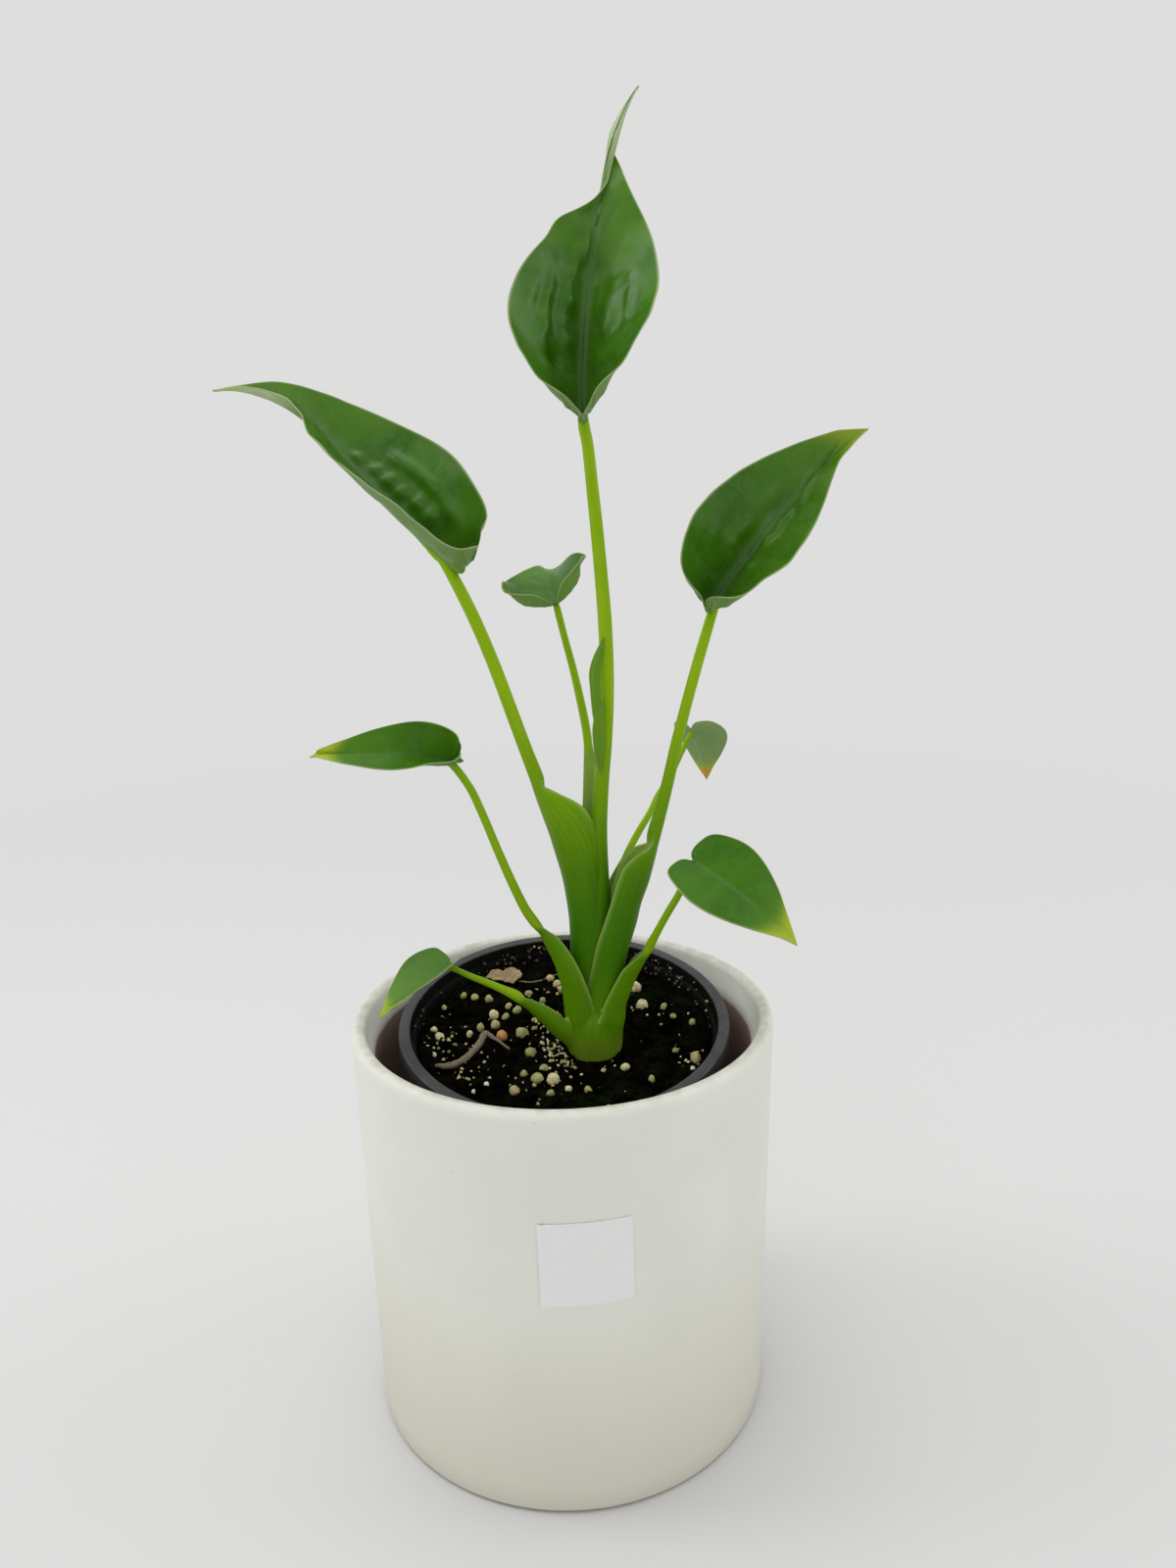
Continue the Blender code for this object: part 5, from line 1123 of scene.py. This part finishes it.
def pucker_blade(leaf, points, normals, facts):
    """Raises the blade between its side veins and gives the whole leaf a slight wave.

    After the puckers come fine wrinkles, the bulges and rolls of the tables, a wave of the
    whole blade and one of its edge. All of it dies away at the tip and at the foot.
    """
    size = leaf["half_width"]
    phase = vein_phase(facts["rib"] + 0.012 * facts["side"])
    cell = np.abs(np.sin(np.pi * phase)) ** 0.8
    out = facts["out"]
    window = smooth_step(out, 0.04, 0.22) * fade(out, 0.5, 0.92)
    uneven = 0.75 + 0.55 * wave(points, 13.0, ord(leaf["key"]))
    lift = leaf["pucker"] * (cell - 0.45) * window * uneven * (1.0 - 0.6 * facts["along"] ** 2)
    wrinkle = wave(points * np.array([1.0, 1.0, 0.6]), 3.4, 3.0 + ord(leaf["key"]))
    lift += 0.38 * leaf["pucker"] * wrinkle * window
    open_part = smooth_step(out, 0.03, 0.12)
    for side, place, across, long, wide, height in BULGES.get(leaf["key"], ()):
        shape = bell(facts["along"] - place, long) * bell(out - across, wide)
        lift += height * shape * open_part * (facts["side"] == side)
    for side, end, start, height in ROLLS.get(leaf["key"], ()):
        part = smooth_step(out, start, 1.0) * fade(facts["along"], 0.35 * end, end)
        lift += height * part * (facts["side"] == side)
    lift += 0.014 * size * wave(points, 0.7 * size, 5.0)
    edge_wave = wave(points, 7.0, 8.0) * smooth_step(out, 0.75, 1.0)
    edge_wave *= smooth_step(facts["rib"], 0.02, 0.14)
    lift += (0.5 if leaf["big"] else 0.22) * edge_wave
    lift *= fade(facts["along"], 0.86, 0.99)
    lift *= smooth_step(np.linalg.norm(points - np.array(leaf["foot"]), axis=1), 1.0, 9.0)
    return points + normals * lift[:, None]


def closed(top, low, tris, loop):
    """Solid between two copies of a sheet of triangles, joined along their edge."""
    count = len(top)
    faces = [tuple(t) for t in tris] + [tuple(k + count for k in t[::-1]) for t in tris]
    faces += [(a, a + count, b + count, b) for a, b in zip(loop, loop[1:] + loop[:1])]
    return np.vstack([top, low]), faces


def build_blade(key):
    """Blade with a groove along its midrib, and with midrib and veins raised below."""
    leaf = BLADES[key]
    points, tris, loop, facts = blade_sheet(leaf, *(BIG_GRID if leaf["big"] else SMALL_GRID))
    points = pucker_blade(leaf, points, triangle_normals(points, tris), facts)
    normals = triangle_normals(points, tris)
    out, along, mid_mm = facts["out"], facts["along"], facts["mid_mm"]
    half = 0.5 * np.interp(out, (0.6, 1.0), (BLADE_T, BLADE_T_EDGE))
    phase = vein_phase(facts["rib"])
    vein = bell(phase - np.round(phase), 0.09)
    vein *= smooth_step(out, 0.02, 0.1) * fade(out, 0.7, 0.95)
    groove = 0.12 * bell(mid_mm, 0.7) * (1.0 - along)
    stalk_r = STALKS[key][-1][3]
    ridge = 0.75 * stalk_r * (1.0 - along) ** 0.8 * bell(mid_mm, 0.5 + 0.5 * stalk_r)
    ridge += (0.22 if leaf["big"] else 0.1) * vein
    top = points + normals * (half - groove)[:, None]
    low = points - normals * (half + ridge)[:, None]
    points, faces = closed(top, low, tris, loop)
    start, strength = leaf["tip"]
    tipness = smooth_step(along, start, 1.0) * (strength > 0.0)
    seed = np.full(len(top), float(ord(key)))
    facts = dict(rib=facts["rib"], out=out, mid_mm=mid_mm, vein=vein, along=along,
                 tipness=tipness, seed=seed)
    both = {name: np.tile(values, 2) for name, values in facts.items()}
    both["under"] = np.repeat((0.0, 1.0), len(top))
    make_piece("leaf_" + key, points, faces, paint_leaf(key, leaf["big"]),
               ("blade_" + key,), both, sharp=70.0)


def stalk_rows(key):
    """Loops of a leafstalk from the crown to the blade, running out into its midrib below."""
    leaf = BLADES[key]
    sections = list(STALKS[key][1:])
    spots, aheads, faces = blade_spine(leaf)
    foot = np.array(leaf["foot"])
    radius = sections[-1][3]
    if key not in HELD_FROM:
        start = foot - faces[0] * (radius * 0.9 + 0.1)
        last = np.array(sections[-1][:3])
        sections.append((*(start - (start - last) * 0.25), radius))
    for k in range(MIDRIB_ROWS + 1):
        part = k / MIDRIB_ROWS
        i = int((HELD_FROM.get(key, 0.02) + 0.12 * part) * SPINE_STEPS)
        thin = radius * (0.9 - 0.5 * part)
        sections.append((*(spots[i] - faces[i] * (thin + 0.12)), thin))
    heading = math.radians(STALKS[key][0])
    back = np.array(SHEATH_BACK_DOWN.get(key, (math.cos(heading), math.sin(heading), 0.0)))
    loops = []
    way = None
    for i, section in enumerate(sections):
        before = np.array(sections[max(i - 1, 0)][:3])
        after = np.array(sections[min(i + 1, len(sections) - 1)][:3])
        along = (after - before) / np.linalg.norm(after - before)
        if way is not None:
            back = turned(back, way, along)
        way = along
        loops.append(section_loop(section, back, along))
    sheath = [float(len(s) > 4) for s in sections]
    return np.array(loops), np.array(sheath)


def turned(back, before, after):
    """The back direction carried from one tangent to the next without spinning."""
    axis = np.cross(before, after)
    length = np.linalg.norm(axis)
    if length < 1e-9:
        return back
    angle = math.atan2(length, float(np.dot(before, after)))
    turn = np.array(Matrix.Rotation(angle, 3, Vector(axis / length)))
    return turn @ back


def tube_faces(first, rows, around_count):
    """Closed tube over rows of points that follow each other from the first one."""
    faces = []
    for i in range(rows - 1):
        for k in range(around_count):
            a = first + i * around_count + k
            b = first + i * around_count + (k + 1) % around_count
            faces.append([a, b, b + around_count, a + around_count])
    faces.append(list(range(first + around_count - 1, first - 1, -1)))
    faces.append(list(range(first + (rows - 1) * around_count, first + rows * around_count)))
    return faces


def from_crown(points):
    """Level distance of each point from the crown's axis."""
    return np.hypot(points[..., 0] - CROWN_XY[0], points[..., 1] - CROWN_XY[1])


def crown():
    """Solid of the crown alone, with its facts."""
    profile = curve_through(CROWN_PROFILE, 45)
    profile[0, 0] = profile[-1, 0] = 0.0
    points, faces, _ = revolve(np.abs(profile), 64, Matrix.Translation((*CROWN_XY, 0.0)))
    facts = {name: [0.0] * len(points) for name in STEM_FACTS}
    facts["up"] = [FOOT_TONE] * len(points)
    facts["around"] = np.arctan2(points[:, 1] - CROWN_XY[1], points[:, 0] - CROWN_XY[0]).tolist()
    facts["along"] = points[:, 2].tolist()
    return points.tolist(), faces, facts


def smooth_neighbours(spots, edges, soft):
    """Moves each spot towards the middle of its neighbours and partly back, many times."""
    links = np.bincount(edges.ravel(), minlength=len(spots))[:, None]
    for step in range(BULB_SOFT):
        total = np.zeros_like(spots)
        np.add.at(total, edges[:, 0], spots[edges[:, 1]])
        np.add.at(total, edges[:, 1], spots[edges[:, 0]])
        part = 0.55 if step % 2 == 0 else -0.3
        spots = spots + (total / np.maximum(links, 1) - spots) * (part * soft)[:, None]
    return spots


def base_bulb(points, faces, facts):
    """The crown and the feet of the sheaths, flowing into each other as one smooth body."""
    raw = linked("bulb", mesh_of("bulb", points, faces))
    body = with_modifier(raw, "REMESH", mode="VOXEL", voxel_size=BULB_GRID * MM)
    bpy.data.objects.remove(raw, do_unlink=True)
    spots = np.array([v.co[:] for v in body.vertices]) / MM
    edges = np.array([e.vertices[:] for e in body.edges])
    soft = fade(spots[:, 2], *BULB_FADE_Z)
    soft *= fade(from_crown(spots), *BULB_FADE_R)
    spots = smooth_neighbours(spots, edges, soft)
    waist = 1.0 - BULB_WAIST * fade(spots[:, 2], *BULB_WAIST_Z)
    centre = np.array(CROWN_XY)
    spots[:, :2] = centre + (spots[:, :2] - centre) * waist[:, None]
    tree = KDTree(len(points))
    for k, point in enumerate(points):
        tree.insert(point, k)
    tree.balance()
    near = [tree.find(spot)[1] for spot in spots]
    facts = {name: np.asarray(values)[near] for name, values in facts.items()}
    for name in ("margin", "inner"):
        facts[name] = facts[name] * (1.0 - soft)
    return spots, [list(f.vertices) for f in body.polygons], facts


def fine_stalk(key, seed):
    """Close rows of points of one stalk, with the facts of each point."""
    loops, sheath = stalk_rows(key)
    count = (len(loops) - 1) * STALK_STEPS + 1
    rows = curve_through(loops, count)
    sheath = np.clip(curve_through(sheath[:, None], count), 0.0, 1.0)
    middle = rows.mean(axis=1)
    along = np.concatenate([[0.0], np.cumsum(np.linalg.norm(np.diff(middle, axis=0), axis=1))])
    k = np.arange(rows.shape[1])
    turn = np.where(k < OUTER_POINTS, k / (OUTER_POINTS - 1.0),
                    1.0 - (k - OUTER_POINTS + 1.0) / (INNER_POINTS + 1.0))
    edge = bell(np.minimum(turn, 1.0 - turn), MARGIN_WIDTH)
    if key in "abc":
        up = smooth_step(middle[:, 2], 150.0, 235.0)
    else:
        up = 0.22 + 0.62 * smooth_step(1.0 - sheath[:, 0], 0.2, 1.0)
    up = np.maximum(up, FOOT_TONE * fade(middle[:, 2], 118.0, 150.0))
    facts = {"up": up[:, None], "margin": sheath * edge, "inner": sheath * (k >= OUTER_POINTS),
             "around": turn * 3.0, "along": along[:, None], "seed": float(seed)}
    return rows, {name: np.broadcast_to(v, rows.shape[:2]) for name, v in facts.items()}


def build_stems():
    """The stalks, and below them one smooth body of their feet and the crown."""
    upper = ([], [], {name: [] for name in STEM_FACTS})
    lower = crown()
    for seed, key in enumerate(STALKS):
        rows, facts = fine_stalk(key, seed)
        middle = rows.mean(axis=1)
        far = from_crown(middle)
        start = int(np.argmax((middle[:, 2] >= STALK_FROM[0]) | (far > STALK_FROM[1])))
        end = int(np.argmax((middle[:, 2] > FOOT_TO[0]) | (far > FOOT_TO[1])))
        for (points, faces, own), part in ((upper, slice(start, None)), (lower, slice(end))):
            faces += tube_faces(len(points), len(rows[part]), rows.shape[1])
            points += rows[part].reshape(-1, 3).tolist()
            for name in STEM_FACTS:
                own[name] += facts[name][part].reshape(-1).tolist()
    material = paint_stalk()
    points, faces, facts = upper
    make_piece("stems", points, faces, material, ("stems",), facts, sharp=50.0)
    points, faces, facts = base_bulb(*lower)
    make_piece("stem_base", points, faces, material, ("stems",), facts, sharp=80.0)


def sweep(spots, up, count, reach):
    """Tube round a path, with the turn and the row of each of its points.

    reach gives, for a row and a turn, how far the point lies to the side and to the front.
    """
    points, turns = [], []
    for i, spot in enumerate(spots):
        way = Vector(spots[min(i + 1, len(spots) - 1)] - spots[max(i - 1, 0)]).normalized()
        side = way.cross(up).normalized()
        front = side.cross(way)
        for k in range(count):
            turn = 2.0 * math.pi * k / count
            across, out = reach(i, turn)
            points.append(tuple(Vector(spot) + side * across + front * out))
            turns.append(turn)
    rows = np.repeat(np.arange(len(spots)), count)
    return points, tube_faces(0, len(spots), count), np.array(turns), rows


def build_rolled(name, path, material, replaced):
    """Slim rolled leaf or sheath with pale edges at both sides."""
    rows = curve_through(path, ROLLED_ROWS)

    def reach(i, turn):
        thick = NEW_LEAF_DEPTH * (1.0 + 0.25 * math.sin(3.0 * turn + 0.09 * i))
        return rows[i, 3] * math.cos(turn), rows[i, 3] * thick * math.sin(turn)

    points, faces, turns, row = sweep(rows[:, :3], Vector((0.0, -1.0, 0.0)), ROLLED_AROUND, reach)
    margin = bell(1.0 - np.abs(np.cos(turns)), MARGIN_WIDTH)
    make_piece(name, points, faces, material, replaced,
               {"margin": margin, "around": turns, "along": rows[row, 2]}, sharp=60.0)


def build_new_leaf():
    material = paint_young_leaf()
    build_rolled("new_leaf", NEW_LEAF, material, ("new_leaf",))
    build_rolled("new_sheath", NEW_SHEATH, material, ())


def plate(points, tris, loop, thick):
    """Closed plate of even thickness round a sheet of triangles."""
    half = 0.5 * thick * triangle_normals(points, tris)
    return closed(points + half, points - half, tris, loop)


def label_spot(s, t):
    """Place on the pot's wall of the label's point s to the right and t above its middle.

    The paper lifts at its left edge, waves a little, and has one upright crease at the left.
    """
    edge = 0.16 * smooth_step(-s - t * 0.25, 10.0, 15.5)
    waves = 0.05 * max(0.0, noise.noise(Vector((s * 0.35, t * 0.12, 4.0))))
    crease = 0.3 * bell(s + 11.4, 0.8) * smooth_step(t, 2.0, 9.0)
    lean = math.radians(LABEL_LEAN)
    across = s * math.cos(lean) - t * math.sin(lean)
    height = LABEL_Z + s * math.sin(lean) + t * math.cos(lean)
    radius = cover_radius(height) + LABEL_OFF + 0.5 * LABEL_T + float(edge + waves + crease)
    turn = math.radians(LABEL_TURN - 90.0) + across / radius
    return radius * math.cos(turn), radius * math.sin(turn), height


def build_label():
    n = LABEL_GRID
    part = [i / (n - 1) - 0.5 for i in range(n)]
    points = np.array([label_spot(LABEL_W * s, LABEL_H * t) for t in part for s in part])
    tris = []
    for j in range(n - 1):
        for a in range(j * n, j * n + n - 1):
            tris += [(a, a + 1, a + n + 1), (a, a + n + 1, a + n)]
    last = n * (n - 1)
    loop = list(range(n)) + list(range(2 * n - 1, n * n, n))
    loop += list(range(last + n - 2, last - 1, -1)) + list(range(last - n, 0, -n))
    points, faces = plate(points, tris, loop, LABEL_T)
    make_piece("label", points, faces, paint_paper(), ("label",), sharp=60.0)


def build_strand(name, path, count, lean, material, replaced):
    """Rough round strand along a path in the soil's plane."""
    rows = curve_through(path, count)
    spots = np.array(placed(lean, [(x, y, SOIL_TOP + up) for x, y, up, _ in rows]))

    def reach(i, turn):
        ring = Vector((math.cos(turn) * 1.5, math.sin(turn) * 1.5, i * 0.16))
        radius = rows[i, 3] * (1.0 + 0.3 * noise.noise(ring))
        return radius * math.cos(turn), radius * math.sin(turn)

    up = lean.to_3x3() @ Vector((0.0, 0.0, 1.0))
    points, faces, turns, row = sweep(spots, up, STRAND_AROUND, reach)
    make_piece(name, points, faces, material, replaced,
               {"around": turns, "along": row}, sharp=60.0)


def build_twig(lean):
    material = paint_twig()
    build_strand("dry_twig", TWIG, 90, lean, material, ("dry_twig",))
    build_strand("root_thread", ROOT_THREAD, 50, lean, material, ())


def build_scrap(lean):
    """Curled scrap of dead leaf: rings between its middle and its ragged edge."""
    edge = curve_through(SCRAP + SCRAP[:1], 70)[:-1]
    middle = edge.mean(axis=0)
    count = len(edge)
    points, around, along = [(*middle, SOIL_TOP + SCRAP_LIFT)], [0.0], [0.0]
    for ring in range(1, SCRAP_RINGS + 1):
        part = ring / SCRAP_RINGS
        for k in range(count):
            x, y = middle + (edge[k] - middle) * part
            ragged = 1.0 + 0.05 * noise.noise(Vector((x * 1.4, y * 1.4, 2.0))) * part
            x, y = middle + (np.array([x, y]) - middle) * ragged
            fold = 1.5 * abs(math.sin(0.42 * (x + 0.5 * y) + 0.6)) * part
            fold += 0.8 * noise.noise(Vector((x * 0.5, y * 0.5, 1.0)))
            points.append((x, y, SOIL_TOP + SCRAP_LIFT + fold))
            around.append(2.0 * math.pi * k / count)
            along.append(part)
    tris = []
    for k in range(count):
        nxt = (k + 1) % count
        tris.append((0, 1 + k, 1 + nxt))
        for first in range(1, 1 + (SCRAP_RINGS - 1) * count, count):
            a, b = first + k, first + nxt
            tris += [(a, a + count, b + count), (a, b + count, b)]
    loop = list(range(len(points) - count, len(points)))
    points, faces = plate(np.array(placed(lean, points)), tris, loop, SCRAP_T)
    make_piece("dry_leaf", points, faces, paint_dry_leaf(), ("dry_leaf",),
               {"around": around * 2, "along": along * 2}, sharp=60.0)


def build_stage():
    """Pale floor, even surround and four soft lights."""
    r = FLOOR_REACH
    corners = ((-r, -r, 0.0), (r, -r, 0.0), (r, r, 0.0), (-r, r, 0.0))
    floor = linked("floor", mesh_of("floor", corners, ((0, 1, 2, 3),)))
    floor.data.materials.append(paint_floor())

    world = bpy.data.worlds.new("surround")
    bpy.context.scene.world = world
    world.use_nodes = True
    world.node_tree.nodes["Background"].inputs[0].default_value = (*BACKDROP_TONE, 1.0)

    for name, (place, size, watts) in LIGHTS.items():
        data = bpy.data.lights.new(name, "AREA")
        data.shape = "RECTANGLE"
        data.size, data.size_y = size
        data.energy = watts
        light = linked(name, data)
        light.location = place
        aim = Vector(LIGHT_AIM) - Vector(place)
        light.rotation_euler = aim.to_track_quat("-Z", "Y").to_euler()


def build_camera():
    """Camera at the photo's place and angle, with everything sharp."""
    down, turn, roll = CAMERA_DOWN, CAMERA_TURN, CAMERA_ROLL
    ahead = Vector((math.sin(turn) * math.cos(down), math.cos(turn) * math.cos(down),
                    -math.sin(down)))
    right = Vector((math.cos(turn), -math.sin(turn), 0.0))
    up = right.cross(ahead)
    x = right * math.cos(roll) + up * math.sin(roll)
    y = up * math.cos(roll) - right * math.sin(roll)
    data = bpy.data.cameras.new("camera")
    data.sensor_width = SENSOR_MM
    data.lens = CAMERA_FOCAL_PX / PICTURE_TALL_PX * SENSOR_MM
    data.clip_start = 0.01
    camera = linked("camera", data)
    axes = Matrix((x, y, -ahead)).transposed().to_4x4()
    camera.matrix_world = Matrix.Translation(Vector(CAMERA_PLACE) * MM) @ axes
    bpy.context.scene.camera = camera
    bpy.context.scene.view_settings.view_transform = "Standard"


def main():
    lean = nursery_frame()
    build_camera()
    build_stage()
    build_cover_pot()
    build_nursery_pot(lean)
    peat = paint_peat()
    build_soil(lean, peat)
    build_crumbs(lean, peat)
    build_stems()
    for key in BLADES:
        build_blade(key)
    build_new_leaf()
    build_label()
    build_twig(lean)
    build_scrap(lean)


main()
